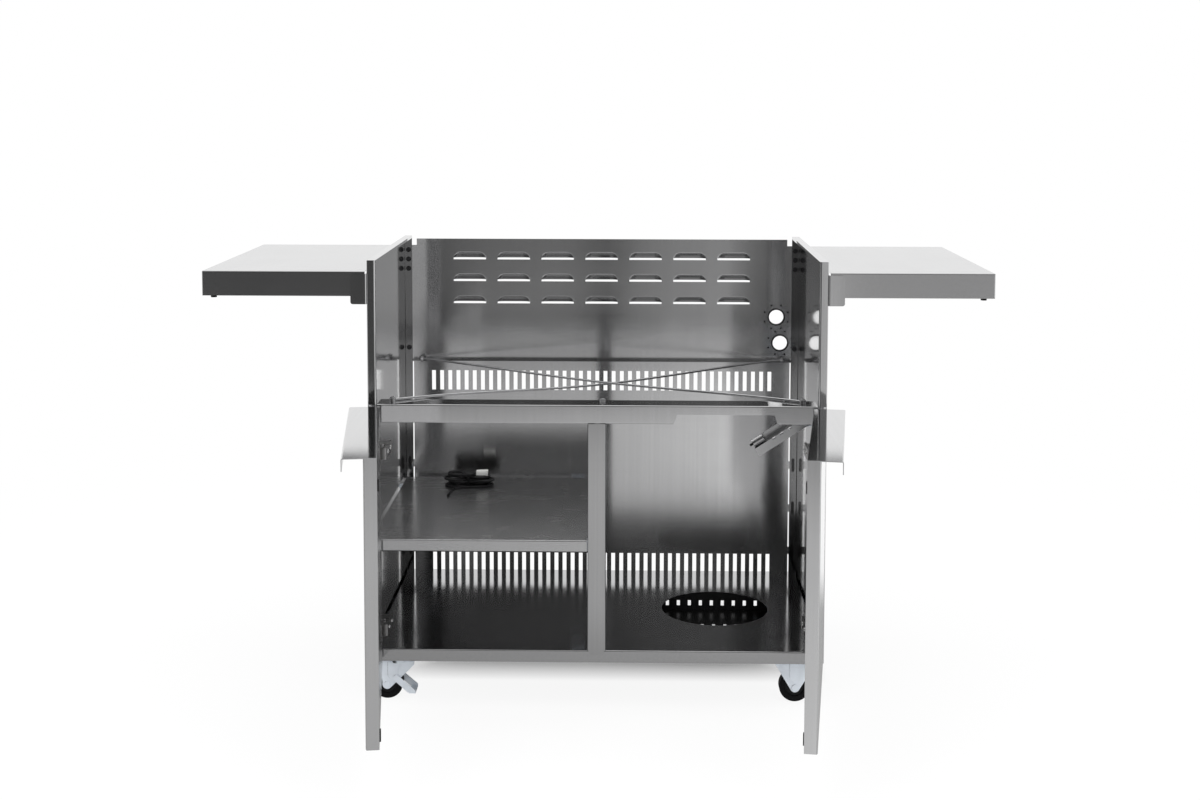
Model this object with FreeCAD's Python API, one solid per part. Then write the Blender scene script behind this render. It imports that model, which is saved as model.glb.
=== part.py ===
import FreeCAD, Part
import math
import os

Vector = FreeCAD.Vector

# Driving dimensions in mm. X is right, Y runs to the back, Z is up and the floor is Z = 0.
# Building heights and depths are measured from the floor and from the front face of the body.
HEIGHT = 914.0              # floor to the top of the side panels
BODY_W = 922.0              # over the outer faces of the side panels
BODY_D = 550.0              # front face to rear face of the side panels
SHEET = 1.2                 # folded stainless sheet
BEND_R = 2.5                # outside radius of a fold
HEM_R = 4.0                 # fold between a side panel's front face and its hem
EDGE_GAP = 0.5              # between sheets that are fastened edge to edge
SIDE_GAP = 4.0              # between the side skins and the edges of the floor and the middle shelf
RUN_FIT = 0.05              # radial room of a pin or axle in its hole
HOLE_FIT = 0.2              # radial room of a bolt in its hole
TURN_GAP = 0.4              # between flat faces that turn past each other
M5_R = 2.5
M5_HEAD = (5.5, 4.0)        # radius and thickness
M6_R = 3.0
M6_HEAD = (5.0, 4.0)
OVERCUT = 3.0               # how far a cutter starts and ends outside the sheet
XO = BODY_W / 2             # outer face of the right side panel
XI = XO - SHEET             # inner face of its skin

# Casters
WHEEL_R = 31.75
TREAD_W = 25.0
TREAD_ROUND = 3.5
RIM_R = 20.0
HUB_W = TREAD_W + 3.0
HUB_DISC = 16.0             # width of the hub's web
HUB_BOSS_R = 9.0
AXLE_R = 4.0
RIVET = (6.5, 2.0)          # radius and thickness of an axle head
LEG_T = 2.5
LEG_IN = HUB_W / 2 + 0.6    # half of the room between the fork legs
LEG_FOOT_R = 10.0
PAD_R = 11.0                # pressed pad on each fork leg
PAD_T = 1.0
PAD_UP = 22.0               # middle of the pad's round end over the axle
CASTER_ROOM = 31.5          # top of a wheel to the underside of the body
BASE_Z = 2 * WHEEL_R + CASTER_ROOM
PLATE = (98.0, 66.0, 2.5)
PLATE_ROUND = 6.0
PLATE_BOLTS = (PLATE[0] / 2 - 7.0, PLATE[1] / 2 - 9.0)
PLATE_LOW = BASE_Z - PLATE[2]
CASTER_X = XO - 54.0
CASTER_Y = 53.0             # from the front or the rear face
TRAIL = 25.0
CROWN_Z = PLATE_LOW - 15.2
CROWN_T = 3.0
CROWN_X = (-TRAIL - 9.0, 31.0)
RACE_R = 22.0
RACE_T = 3.0
KING_R = 6.0
KING_HEAD = (9.0, 3.0)
BRAKE_PIVOT = (-6.0, WHEEL_R + 14.25)   # from the swivel axis, height over the floor
BRAKE_PIN_R = 3.0
BRAKE_EYE_R = 6.4
BRAKE_TIP = (28.0, 17.0)
BRAKE_FOOT = (8.0, 6.0)     # foot plate before and behind the tip
BRAKE_T = 2.0

# Side panels
RETURN_W = 18.0             # width of the folded returns round each side panel
FRONT_HEM = 8.0             # front return turned back again
TOP_HEM = 6.0
SLOT_Z = (170.0, 272.0, 375.0)
REAR_SLOT = (7.0, 32.0)
RETURN_IN = XO - RETURN_W   # inner edge of the returns
SKIN_END = RETURN_IN - EDGE_GAP

# Front rail, centre post, floor and middle shelf
RAIL_TOP = 623.2
RAIL_H = 37.5
RAIL_DEPTH = 56.0
RAIL_FOOT = 14.0
RAIL_Z0 = RAIL_TOP - RAIL_H
POST_W = 37.0
POST_DEPTH = 30.0
POST_LAP = 9.0              # post front over the floor lip
POST_ROUND = 6.0
FLOOR_TOP = BASE_Z + 24.2
FLOOR_LIP = 25.7
MID_TOP = 346.0
MID_LIP = 24.0
MID_FRONT = 2.0
MID_BACK = BODY_D - 19.0
CLIP = (30.0, 20.0)         # width and leg of the clips under the middle shelf
CLIP_BACK = 110.0
CLIP_Y = (60.0, BODY_D - CLIP_BACK)
REAR_CLIP_X = -70.0
MOUNT_X = (SKIN_END - EDGE_GAP - 90.0, SKIN_END - EDGE_GAP)
MOUNT_Y = (14.0, 94.0)
MOUNT_T = 2.0
MOUNT_FLANGE = 10.0

# Tank place in the floor, and the notch above it in the front rail
HOLE_R = 115.5
HOLE_IN = 207.0             # from the outer face of the right side panel
HOLE_X = XO - HOLE_IN
HOLE_Y = BODY_D / 2
TRAY_RIM = 14.5
TRAY_HALF = HOLE_R + TRAY_RIM
TRAY_DEPTH = 47.0
TRAY_FLANGE = 12.0
TRAY_SLOT = 7.0
TRAY_SLOT_PITCH = 25.0
TRAY_SLOTS = int(2 * (TRAY_HALF - TRAY_FLANGE) / TRAY_SLOT_PITCH)
TRAY_SLOT_UP = 12.0         # slots of the rear wall above the tray's floor
TRAY_SLOT_H = 12.0
TRAY_SLOT_ROW = 152.0       # floor slots from the front of the tray
NOTCH_REACH = (101.0, 110.0)    # to the left and right of the hole's middle
NOTCH_X = (HOLE_X - NOTCH_REACH[0], HOLE_X + NOTCH_REACH[1])
NOTCH_TOP = RAIL_TOP - 18.2
NOTCH_SLANT = 8.0

# Back panels
UPPER_W = BODY_W - 12.0
UPPER_TOP = HEIGHT - 7.0
UPPER_NOTCH = (23.0, 15.0)
LEDGE = 26.0
LOUVRE_PITCH = 102.7
LOUVRE_COLS = int((UPPER_W - 190.0) / LOUVRE_PITCH)
LOUVRE_DROPS = (158.6, 106.5, 55.4)     # lower edges of the louvre rows under the top of the cart
LOUVRE_W = 78.0
LOUVRE_H = 18.0
LOUVRE_OUT = 8.0
LOUVRE_SLIT = 4.0           # open height under each louvre hood
LOUVRE_R = (LOUVRE_H ** 2 + LOUVRE_OUT ** 2) / (2 * LOUVRE_OUT)     # inner radius of a hood
LOUVRE_AXIS = LOUVRE_R - LOUVRE_OUT     # axis of a hood before the panel
HOOD_REACH = math.sqrt((LOUVRE_R + SHEET) ** 2 - LOUVRE_SLIT ** 2) - LOUVRE_AXIS    # hood behind the panel
LOWER_W = BODY_W - 41.0
LOWER_BOTTOM = BASE_Z + 2.0
VENT_PITCH = 19.2
VENTS = int((LOWER_W - 74.0) / VENT_PITCH)
VENT = (9.0, 46.0)
VENT_Z = (LOWER_BOTTOM + 18.0, RAIL_TOP - 72.7)     # lower edges of the two vent rows
TAB_H = 18.0
TAB_IN = 5.0                # end of a tab inside the outer face of the side panel
TAB_END = (11.0, REAR_SLOT[1] + 4.0)    # width and height of a tab's end, behind the slot of the return
BACK_BOLT_X = RETURN_IN + RETURN_W / 2 - 1.0
BACK_BOLT_Z = (RAIL_TOP + 27.8, HEIGHT - 77.0, HEIGHT - 55.0, HEIGHT - 33.0)

# Hose ports in the upper back panel
PORT_R = 17.0
PORT_WALL = 1.8
PORT_RIM = (1.2, 3.0)       # width and thickness of a grommet's rims
PORT_FIT = 0.1
PORTS = ((XO - 53.0, RAIL_TOP + 102.8), (XO - 44.0, RAIL_TOP + 41.8))
PORT_DOTS = 8
PORT_DOT_R = 1.5
PORT_DOT_RING = PORT_R + 12.0

# Cross braces
ROD_R = 2.5
EYE_R = 6.5
EYE_T = 2 * ROD_R + 0.4
BRACE_HEAD = (5.0, 3.0)
BRACE_FRONT = (XO - 45.0, RAIL_DEPTH - 20.0)
BRACE_BACK = (XO - 41.0, BODY_D - LEDGE / 2)
BRACE_DIP = (13.0, 13.0 - 2 * ROD_R - 1.0)  # the rods bow down and pass one over the other
BRACE_CLEAR = 5.0           # the rods start down this far past the sheets they lie on

# Doors, described closed and then swung open
DOOR_OPEN = 82.0
DOOR_T = 24.0
DOOR_STANDOFF = 3.0         # inner face in front of the body
DOOR_EDGE_IN = 4.0          # hinge edge inside the outer face of the side panel
DOOR_MID_GAP = 2.0          # half of the gap between the doors
DOOR_BOTTOM = BASE_Z + 5.0
DOOR_TOP = RAIL_TOP - 4.7
LINER_FIT = 0.1
HANDLE_OUT = 38.0
HANDLE_LIP = 23.0
HANDLE_T = 1.5
HANDLE_ROUND = 3.0
PIVOT_IN = 9.0              # hinge pin from the hinge edge
PIVOT_DEEP = DOOR_T - 9.0   # hinge pin behind the inner face
HINGE_Z = (DOOR_BOTTOM + 65.0, DOOR_TOP - 91.5)
HINGE_PIN_R = 2.5
KNUCKLE_R = 5.0
KNUCKLE_H = 24.0
ARM_T = 5.0
ARM_REACH = 24.0
HINGE_FOOT = (24.0, 54.0)
HINGE_FOOT_H = 19.2
CUP = (PIVOT_IN + ARM_REACH + 6.5, DOOR_T - SHEET - EDGE_GAP, KNUCKLE_H + 28.0)
CUP_WALL = 1.5
CUP_FIT = 0.3
BUMPER = (12.0, DOOR_STANDOFF - 0.6, 20.0)
BUMPER_IN = 4.0             # bumper beside the post
BUMPER_Z = (DOOR_BOTTOM + 16.0, DOOR_TOP - 52.5)
DOOR_INNER_Y = -DOOR_STANDOFF
DOOR_OUTER_Y = DOOR_INNER_Y - DOOR_T
DOOR_HINGE_X = XO - DOOR_EDGE_IN
PIVOT_X = DOOR_HINGE_X - PIVOT_IN
PIVOT_Y = DOOR_INNER_Y - PIVOT_DEEP

# Side shelves
SHELF_DROP = 22.0
SHELF_TOP = HEIGHT - SHELF_DROP
SHELF_SKIRT = 50.0
SHELF_REACH = 330.5
SHELF_OUT = XO + SHELF_REACH     # outer edge
SHELF_GAP = 3.5
SHELF_IN = XO + SHELF_GAP
SHELF_LOW = SHELF_TOP - SHELF_SKIRT
SHELF_KNUCKLE_R = 8.0
SHELF_PIVOT = (XO + 16.0, SHELF_LOW + SHELF_KNUCKLE_R)
SHELF_RETURN = 14.0
SHELF_END_RETURN = 26.0
SHELF_PIN_R = 4.0
SHELF_PIN_IN = 10.0         # length of a pivot bolt behind the skirt's face
SHELF_NUT = (7.0, 5.0)
BRACKET_T = 2.0
BRACKET_Z = (SHELF_PIVOT[1] - 24.0, SHELF_TOP - 5.0)
EAR_T = 3.0
EAR_OUT = SHELF_PIVOT[0] + 16.0
EAR_ROUND = 5.0
FOOT_R = 6.0
FOOT_H = 5.5
FOOT_X = SHELF_OUT - 19.0
FOOT_Y = 20.0

# Tank retainer
RETAINER_PIVOT = (XO - 33.0, RAIL_Z0 - 8.7)
RETAINER_Y = 75.0
RETAINER_LEN = 118.0
RETAINER_TAIL = 8.0         # arm past its pivot
RETAINER_TILT = 33.0
RETAINER_WALL = 18.0
RETAINER_FLANGE = 26.0
RETAINER_BACK = 14.0        # rear edge of the flange turned up
RETAINER_FLANGE_FROM = 16.0
RETAINER_T = 1.5
RETAINER_PIN = (4.0, 7.0, 3.6)      # radius, head radius and head thickness
RETAINER_SLOTS = 3
RETAINER_SLOT_PITCH = 19.0
RETAINER_SLOT_FROM = 36.0
RETAINER_SLOT = (9.0, 4.0)
RETAINER_EAR = (10.0, 3.0)
RETAINER_FOOT = (40.0, 40.0)
BARREL_R = 9.0
BARREL_L = 24.0
BARREL_IN = 2.0             # barrel's mouth from the end of the arm
BARREL_SINK = 0.5
BARREL_RIBS = 5
RIB_PITCH = 4.8
RIB_W = 2.6
RIB_FROM = 3.0
PLUNGER_R = 2.5
PLUNGER_OUT = 8.0
PLUNGER_END = 12.0          # inner end of the plunger from the closed end of the barrel
PLUNGER_STOP = 4.0

# Wiring lead, a hank on the middle shelf
LEAD_R = 2.25
LEAD_AT = (159.0 - XO, MID_BACK - 79.0)
HANK_HALF = 30.0            # middle of the hank to the centre of its end turns
HANK_TURN = (13.5, 20.2)    # end turns of the inner and outer loops
HANK_WAIST = (3.0, 15.0)    # the same loops at the waist
HANK_LAYERS = 4
HANK_CLIMB = 6.3
TAIL_TURN = 37.0
TAIL_LEN = 36.0
LEAD_LIFT = 0.3
PLUG = (27.0, 16.0, 12.0)
PLUG_X = 30.0
PLUG_ROUND = 1.5

# The origin lies in the middle of the footprint with the doors open
OPEN = math.radians(DOOR_OPEN)
DOOR_REACH = ((PIVOT_X - DOOR_MID_GAP) * math.sin(OPEN)
              + (DOOR_T + HANDLE_OUT - PIVOT_DEEP) * math.cos(OPEN) - PIVOT_Y)
BACK_REACH = BODY_D + HOOD_REACH
FRONT_Y = (DOOR_REACH - BACK_REACH) / 2

nodes = {}


def add(name, *shapes):
    """Keeps one node, moved from the front face to the common origin."""
    solids = [solid for shape in shapes for solid in shape.Solids]
    moved = []
    for solid in solids:
        copy = solid.copy()
        copy.translate(Vector(0, FRONT_Y, 0))
        moved.append(copy)
    nodes[name] = moved[0] if len(moved) == 1 else Part.makeCompound(moved)


def box(x0, x1, y0, y1, z0, z1):
    return Part.makeBox(abs(x1 - x0), abs(y1 - y0), abs(z1 - z0),
                        Vector(min(x0, x1), min(y0, y1), min(z0, z1)))


def rod(start, end, radius):
    start, end = Vector(*start), Vector(*end)
    return Part.makeCylinder(radius, (end - start).Length, start, end - start)


def tube(spine, start, along, radius):
    """A round bar swept along a wire that leaves start in the direction along."""
    shell = Part.BRepOffsetAPI.MakePipeShell(spine)
    shell.add(Part.Wire(Part.makeCircle(radius, start, along)))
    shell.build()
    shell.makeSolid()
    return shell.shape()


def fuse(first, *others):
    return first.multiFuse(list(others)).removeSplitter()


def cut(shape, *tools):
    return shape.cut(Part.makeCompound(list(tools))).removeSplitter()


def mirrored(shape):
    return shape.mirror(Vector(0, 0, 0), Vector(1, 0, 0))


def turned(shape, at, axis, angle):
    copy = shape.copy()
    copy.rotate(Vector(*at), Vector(*axis), angle)
    return copy


def shifted(shape, x=0.0, y=0.0, z=0.0):
    copy = shape.copy()
    copy.translate(Vector(x, y, z))
    return copy


def prism_xz(points, y0, y1):
    """A plate with the outline points (x, z), from y0 to y1."""
    wire = Part.makePolygon([Vector(x, y0, z) for x, z in points + points[:1]])
    return Part.Face(wire).extrude(Vector(0, y1 - y0, 0))


def prism_xy(points, z0, z1):
    """A plate with the outline points (x, y), from z0 to z1."""
    wire = Part.makePolygon([Vector(x, y, z0) for x, y in points + points[:1]])
    return Part.Face(wire).extrude(Vector(0, 0, z1 - z0))


def rounded(shape, radius, pick):
    """Fillets the edges whose middle point passes pick."""
    chosen = [e for e in shape.Edges if pick(e.CenterOfMass)]
    return shape.makeFillet(radius, chosen)


def near(value, target):
    return abs(value - target) < 1e-4


def folded(shape, y, z, up):
    """Rounds the fold along X at the front edge (y, z); up is 1 for an upper edge and -1 for a lower one."""
    inner = (y + SHEET, z - up * SHEET)
    shape = rounded(shape, BEND_R, lambda c: near(c.y, y) and near(c.z, z))
    return rounded(shape, BEND_R - SHEET, lambda c: near(c.y, inner[0]) and near(c.z, inner[1]))


def bolt(places, shank, head):
    """A bolt through the points places[0] to places[1], with its head before and its nut behind them."""
    start, end = Vector(*places[0]), Vector(*places[1])
    along = (end - start).normalize() * head[1]
    return fuse(rod(start - along, end + along, shank),
                rod(start - along, start, head[0]),
                rod(end, end + along, head[0]))


def bolt_places():
    """Plate bolts of the front right caster."""
    dx, dy = PLATE_BOLTS
    return [(CASTER_X + sx * dx, CASTER_Y + sy * dy) for sx in (-1, 1) for sy in (-1, 1)]


def hole_y(x, z, radius, y=BODY_D):
    return rod((x, y - OVERCUT, z), (x, y + OVERCUT, z), radius)


def hole_z(at, z, radius):
    return rod((*at, z - OVERCUT), (*at, z + OVERCUT), radius)


def side_panel():
    """Right side panel: one skin folded inwards on all four edges."""
    pan = box(RETURN_IN, XO, 0, BODY_D, BASE_Z, HEIGHT)
    pan = rounded(pan, BEND_R, lambda c: near(c.x, XO))
    room = box(RETURN_IN - OVERCUT, XI, SHEET, BODY_D - SHEET, BASE_Z + SHEET, HEIGHT - SHEET)
    room = rounded(room, BEND_R - SHEET, lambda c: near(c.x, XI))
    hem = RETURN_IN + SHEET
    pan = fuse(pan.cut(room),
               box(RETURN_IN, hem, 0, FRONT_HEM, BASE_Z, HEIGHT),
               box(RETURN_IN, hem, 0, BODY_D, HEIGHT - TOP_HEM, HEIGHT))
    pan = rounded(pan, HEM_R, lambda c: near(c.x, RETURN_IN) and near(c.y, 0))
    pan = rounded(pan, HEM_R - SHEET, lambda c: near(c.x, hem) and near(c.y, SHEET))
    holes = []
    half = REAR_SLOT[0] / 2
    reach = REAR_SLOT[1] / 2 - half
    for z in SLOT_Z:
        holes += [hole_y(BACK_BOLT_X, z + end, half) for end in (-reach, reach)]
        holes.append(box(BACK_BOLT_X - half, BACK_BOLT_X + half, BODY_D - OVERCUT, BODY_D + OVERCUT,
                         z - reach, z + reach))
    holes += [hole_y(BACK_BOLT_X, z, M5_R + HOLE_FIT) for z in BACK_BOLT_Z]
    for x, y in bolt_places():
        if x > RETURN_IN:
            holes += [hole_z((x, place), BASE_Z, M6_R + HOLE_FIT) for place in (y, BODY_D - y)]
    return cut(pan, *holes)


def louvre(x, z):
    """Opening and round outward hood of one louvre, as (cutter, hood)."""
    reach = LOUVRE_W / 2 - LOUVRE_H
    deep = 2 * HOOD_REACH

    def bulge(radius):
        ends = [(x + side * reach, BODY_D - LOUVRE_AXIS, z) for side in (-1, 1)]
        return fuse(rod(*ends, radius), *[Part.makeSphere(radius, Vector(*end)) for end in ends])

    def above(front, low):
        return box(x - LOUVRE_W, x + LOUVRE_W, front, BODY_D + deep, low, z + 2 * LOUVRE_H)

    inner = bulge(LOUVRE_R)
    opening = inner.common(above(BODY_D - OVERCUT, z))
    hood = bulge(LOUVRE_R + SHEET).common(above(BODY_D, z + LOUVRE_SLIT)).cut(inner)
    return opening, hood


def upper_back():
    """Panel behind the rear returns, with louvres, hose ports and a ledge for the braces."""
    half = UPPER_W / 2
    drop = UPPER_TOP - UPPER_NOTCH[1]
    side = half - UPPER_NOTCH[0]
    low = RAIL_TOP - SHEET
    outline = [(-half, low), (half, low), (half, drop), (side, drop),
               (side, UPPER_TOP), (-side, UPPER_TOP), (-side, drop), (-half, drop)]
    panel = prism_xz(outline, BODY_D, BODY_D + SHEET)
    ledge = box(-SKIN_END, SKIN_END, BODY_D - LEDGE, BODY_D + SHEET, low, RAIL_TOP)
    hoods, holes = [], []
    for column in range(LOUVRE_COLS):
        x = (column - (LOUVRE_COLS - 1) / 2) * LOUVRE_PITCH
        for below_top in LOUVRE_DROPS:
            opening, hood = louvre(x, HEIGHT - below_top)
            holes.append(opening)
            hoods.append(hood)
    for x, z in PORTS:
        holes.append(hole_y(x, z, PORT_R + PORT_WALL + PORT_FIT))
        for dot in range(PORT_DOTS):
            angle = math.radians((dot + 0.5) * 360 / PORT_DOTS)
            dx, dz = PORT_DOT_RING * math.cos(angle), PORT_DOT_RING * math.sin(angle)
            holes.append(hole_y(x + dx, z + dz, PORT_DOT_R))
    for sign in (-1, 1):
        holes += [hole_y(sign * BACK_BOLT_X, z, M5_R + HOLE_FIT) for z in BACK_BOLT_Z]
        holes.append(hole_z((sign * BRACE_BACK[0], BRACE_BACK[1]), RAIL_TOP, M6_R + HOLE_FIT))
    sheet = cut(fuse(panel, ledge), *holes)
    return fuse(sheet, *hoods)


def lower_back():
    """Panel between the rear returns, held by tabs behind them."""
    half = LOWER_W / 2
    tab = XO - TAB_IN
    back = BODY_D + SHEET
    panel = box(-half, half, BODY_D, back, LOWER_BOTTOM, RAIL_TOP - SHEET - EDGE_GAP)
    wide, tall = TAB_END
    tabs = [box(-tab, tab, BODY_D, back, z - TAB_H / 2, z + TAB_H / 2) for z in SLOT_Z]
    for z in SLOT_Z:
        for x in (-tab, tab - wide):
            tabs.append(box(x, x + wide, BODY_D, back, z - tall / 2, z + tall / 2))
    vents = []
    wide, tall = VENT
    for index in range(VENTS):
        x = (index - (VENTS - 1) / 2) * VENT_PITCH - wide / 2
        vents += [box(x, x + wide, BODY_D - OVERCUT, BODY_D + OVERCUT, z, z + tall) for z in VENT_Z]
    return fuse(panel, *tabs).cut(Part.makeCompound(vents))


def notched_plate(x0, x1, y0, y1, z0, z1):
    """A flat plate that reaches the side skins and steps round their returns."""
    front = FRONT_HEM + EDGE_GAP
    back = BODY_D - SHEET - EDGE_GAP
    ends = [(x1, y0), (x1, y1)]
    if x1 > SKIN_END:
        ends = [(SKIN_END, y0), (SKIN_END, front), (x1, front), (x1, min(y1, back))]
        ends += [(SKIN_END, back), (SKIN_END, y1)] if y1 > back else []
    starts = [(-SKIN_END, y0), (-SKIN_END, front), (x0, front), (x0, min(y1, back))]
    starts += [(-SKIN_END, back), (-SKIN_END, y1)] if y1 > back else []
    return prism_xy(ends + starts[::-1], z0, z1)


def floor_pan():
    edge = XI - SIDE_GAP
    back = BODY_D - EDGE_GAP
    low = FLOOR_TOP - FLOOR_LIP
    side_front = FRONT_HEM + 4 * EDGE_GAP
    side_back = BODY_D - SHEET - 4 * EDGE_GAP
    side_low = BASE_Z + SHEET + M6_HEAD[1]
    plate = notched_plate(-edge, edge, 0, back, FLOOR_TOP - SHEET, FLOOR_TOP)
    folds = [box(-SKIN_END, SKIN_END, 0, SHEET, low, FLOOR_TOP),
             box(-SKIN_END, SKIN_END, 0, RAIL_FOOT, low, low + SHEET),
             box(-SKIN_END, SKIN_END, back - SHEET, back, BASE_Z, FLOOR_TOP)]
    for sign in (-1, 1):
        folds.append(box(sign * edge, sign * (edge - SHEET), side_front, side_back, side_low, FLOOR_TOP))
    hole = rod((HOLE_X, HOLE_Y, 0), (HOLE_X, HOLE_Y, HEIGHT), HOLE_R)
    pan = folded(folded(fuse(plate, *folds), 0, FLOOR_TOP, 1), 0, low, -1)
    return pan.cut(hole)


def tank_tray():
    """Shallow pan hung under the tank hole, with vent slots."""
    top = FLOOR_TOP - SHEET
    low = top - TRAY_DEPTH
    x0, x1 = HOLE_X - TRAY_HALF, HOLE_X + TRAY_HALF
    y0, y1 = HOLE_Y - TRAY_HALF, HOLE_Y + TRAY_HALF
    pan = box(x0, x1, y0, y1, low, top)
    rim = box(x0 - TRAY_FLANGE, x1 + TRAY_FLANGE, y0 - TRAY_FLANGE, y1 + TRAY_FLANGE, top - SHEET, top)
    room = box(x0 + SHEET, x1 - SHEET, y0 + SHEET, y1 - SHEET, low + SHEET, top + OVERCUT)
    slots = []
    half = TRAY_SLOT / 2
    up = low + TRAY_SLOT_UP
    row = y0 + TRAY_SLOT_ROW
    for index in range(TRAY_SLOTS):
        x = HOLE_X + (index - (TRAY_SLOTS - 1) / 2) * TRAY_SLOT_PITCH
        slots.append(box(x - half, x + half, y1 - OVERCUT, y1 + OVERCUT, up, up + TRAY_SLOT_H))
        slots.append(box(x - half, x + half, row, row + TRAY_SLOT_H, low - OVERCUT, low + OVERCUT))
    return cut(fuse(pan, rim), room, *slots)


def front_rail():
    x = SKIN_END
    channel = fuse(box(-x, x, 0, SHEET, RAIL_Z0, RAIL_TOP),
                   box(-x, x, 0, RAIL_DEPTH, RAIL_TOP - SHEET, RAIL_TOP),
                   box(-x, x, RAIL_DEPTH - SHEET, RAIL_DEPTH, RAIL_TOP - RAIL_FOOT, RAIL_TOP),
                   box(-x, x, 0, RAIL_FOOT, RAIL_Z0, RAIL_Z0 + SHEET))
    channel = folded(folded(channel, 0, RAIL_TOP, 1), 0, RAIL_Z0, -1)
    low = RAIL_Z0 - OVERCUT
    notch = prism_xz([(NOTCH_X[0], low), (NOTCH_X[1], low), (NOTCH_X[1] - NOTCH_SLANT, NOTCH_TOP),
                      (NOTCH_X[0] + NOTCH_SLANT, NOTCH_TOP)], -OVERCUT, RAIL_FOOT + OVERCUT)
    eyes = [hole_z((sign * BRACE_FRONT[0], BRACE_FRONT[1]), RAIL_TOP, M6_R + HOLE_FIT) for sign in (-1, 1)]
    return cut(channel, notch, *eyes)


def centre_post():
    half = POST_W / 2
    flat = half - BEND_R
    foot = FLOOR_TOP - POST_LAP
    lap = box(-flat, flat, -SHEET, 0, foot, RAIL_Z0)
    lap = rounded(lap, POST_ROUND, lambda c: near(c.z, foot) and near(abs(c.x), flat))
    front = box(-half, half, -SHEET, 0, FLOOR_TOP, RAIL_Z0)
    sides = []
    inner = POST_DEPTH - SHEET
    for sign in (-1, 1):
        sides.append(box(sign * half, sign * (half - SHEET), -SHEET, POST_DEPTH, FLOOR_TOP, RAIL_Z0))
        sides.append(box(sign * half, sign * (half - RAIL_FOOT), inner, POST_DEPTH, FLOOR_TOP, RAIL_Z0))
    post = fuse(front, *sides)
    post = rounded(post, BEND_R, lambda c: near(abs(c.x), half) and near(c.y, -SHEET))
    post = rounded(post, BEND_R - SHEET, lambda c: near(abs(c.x), half - SHEET) and near(c.y, 0))
    return fuse(post, lap)


def mid_shelf():
    right = -POST_W / 2 - 3 * EDGE_GAP
    left = -XI + SIDE_GAP
    low = MID_TOP - MID_LIP
    plate = notched_plate(left, right, MID_FRONT, MID_BACK, MID_TOP - SHEET, MID_TOP)
    pan = fuse(plate,
               box(-SKIN_END, right, MID_FRONT, MID_FRONT + SHEET, low, MID_TOP),
               box(-SKIN_END, right, MID_FRONT, FRONT_HEM, low, low + SHEET),
               box(left, right, MID_BACK - SHEET, MID_BACK, MID_TOP - MID_LIP / 2, MID_TOP))
    return folded(folded(pan, MID_FRONT, MID_TOP, 1), MID_FRONT, low, -1)


def shelf_clips():
    """Four angle clips under the middle shelf: two at the side skin, one at the post, one at the back."""
    wide, leg = CLIP
    top = MID_TOP - SHEET
    clips = []
    for y in CLIP_Y:
        clips.append(fuse(box(-XI, -XI + SHEET, y, y + wide, top - leg, top),
                          box(-XI, -XI + leg, y, y + wide, top - SHEET, top)))
    post = -POST_W / 2
    post_end = POST_DEPTH - 4 * EDGE_GAP
    clips.append(fuse(box(post, post - SHEET, FRONT_HEM / 2, post_end, top - leg, top),
                      box(post, post - leg, FRONT_HEM + SHEET, post_end, top - SHEET, top)))
    lip = MID_TOP - MID_LIP / 2
    x0, x1 = REAR_CLIP_X, REAR_CLIP_X + wide
    clips.append(fuse(box(x0, x1, BODY_D - SHEET, BODY_D, lip - leg, lip),
                      box(x0, x1, MID_BACK - wide, BODY_D, lip - SHEET, lip)))
    return clips


def brace(sign, dip):
    """One diagonal rod with an eye at each end, level over the sheets and bowed down between them."""
    z0 = RAIL_TOP
    axis = z0 + EYE_T / 2
    x0, y0 = -sign * BRACE_FRONT[0], BRACE_FRONT[1]
    x1, y1 = sign * BRACE_BACK[0], BRACE_BACK[1]

    def point(y, drop):
        return Vector(x0 + (x1 - x0) * (y - y0) / (y1 - y0), y, axis - drop)

    curve = Part.BSplineCurve()
    curve.interpolate([point(y0, 0), point(RAIL_DEPTH + BRACE_CLEAR, 0), point((y0 + y1) / 2, dip),
                       point(BODY_D - LEDGE - BRACE_CLEAR, 0), point(y1, 0)])
    shape = tube(Part.Wire(curve.toShape()), point(y0, 0), curve.tangent(curve.FirstParameter)[0], ROD_R)
    ends = ((x0, y0), (x1, y1))
    shape = fuse(shape, *[rod((*end, z0), (*end, z0 + EYE_T), EYE_R) for end in ends])
    low, high = z0 - OVERCUT, z0 + EYE_T + OVERCUT
    return cut(shape, *[rod((*end, low), (*end, high), M6_R + HOLE_FIT) for end in ends])


def brace_bolt(at):
    return bolt(((*at, RAIL_TOP - SHEET), (*at, RAIL_TOP + EYE_T)), M6_R, BRACE_HEAD)


def grommet(x, z):
    wide, thick = PORT_RIM
    rim = PORT_R + PORT_WALL + wide
    front, back = BODY_D - thick, BODY_D + SHEET + thick
    ring = fuse(rod((x, front, z), (x, back, z), PORT_R + PORT_WALL),
                rod((x, front, z), (x, BODY_D, z), rim),
                rod((x, BODY_D + SHEET, z), (x, back, z), rim))
    return ring.cut(rod((x, 0, z), (x, 2 * BODY_D, z), PORT_R))


def shelf_bracket():
    """Long plate welded on the outer face of the right side panel, with an ear at each end."""
    z0, z1 = BRACKET_Z
    plate = box(XO, XO + BRACKET_T, -EAR_T, BODY_D + EAR_T, z0, z1)
    ears = []
    for y in (-EAR_T, BODY_D):
        ear = box(XO, EAR_OUT, y, y + EAR_T, z0, z1)
        ears.append(rounded(ear, EAR_ROUND, lambda c: near(c.x, EAR_OUT) and (near(c.z, z0) or near(c.z, z1))))
    x, z = SHELF_PIVOT
    pivot = rod((x, -2 * EAR_T, z), (x, BODY_D + 2 * EAR_T, z), SHELF_PIN_R + RUN_FIT)
    bracket = rounded(fuse(plate, *ears), BEND_R,
                      lambda c: near(c.x, XO) and (near(c.y, -EAR_T) or near(c.y, BODY_D + EAR_T)))
    return cut(bracket, pivot)


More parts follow.
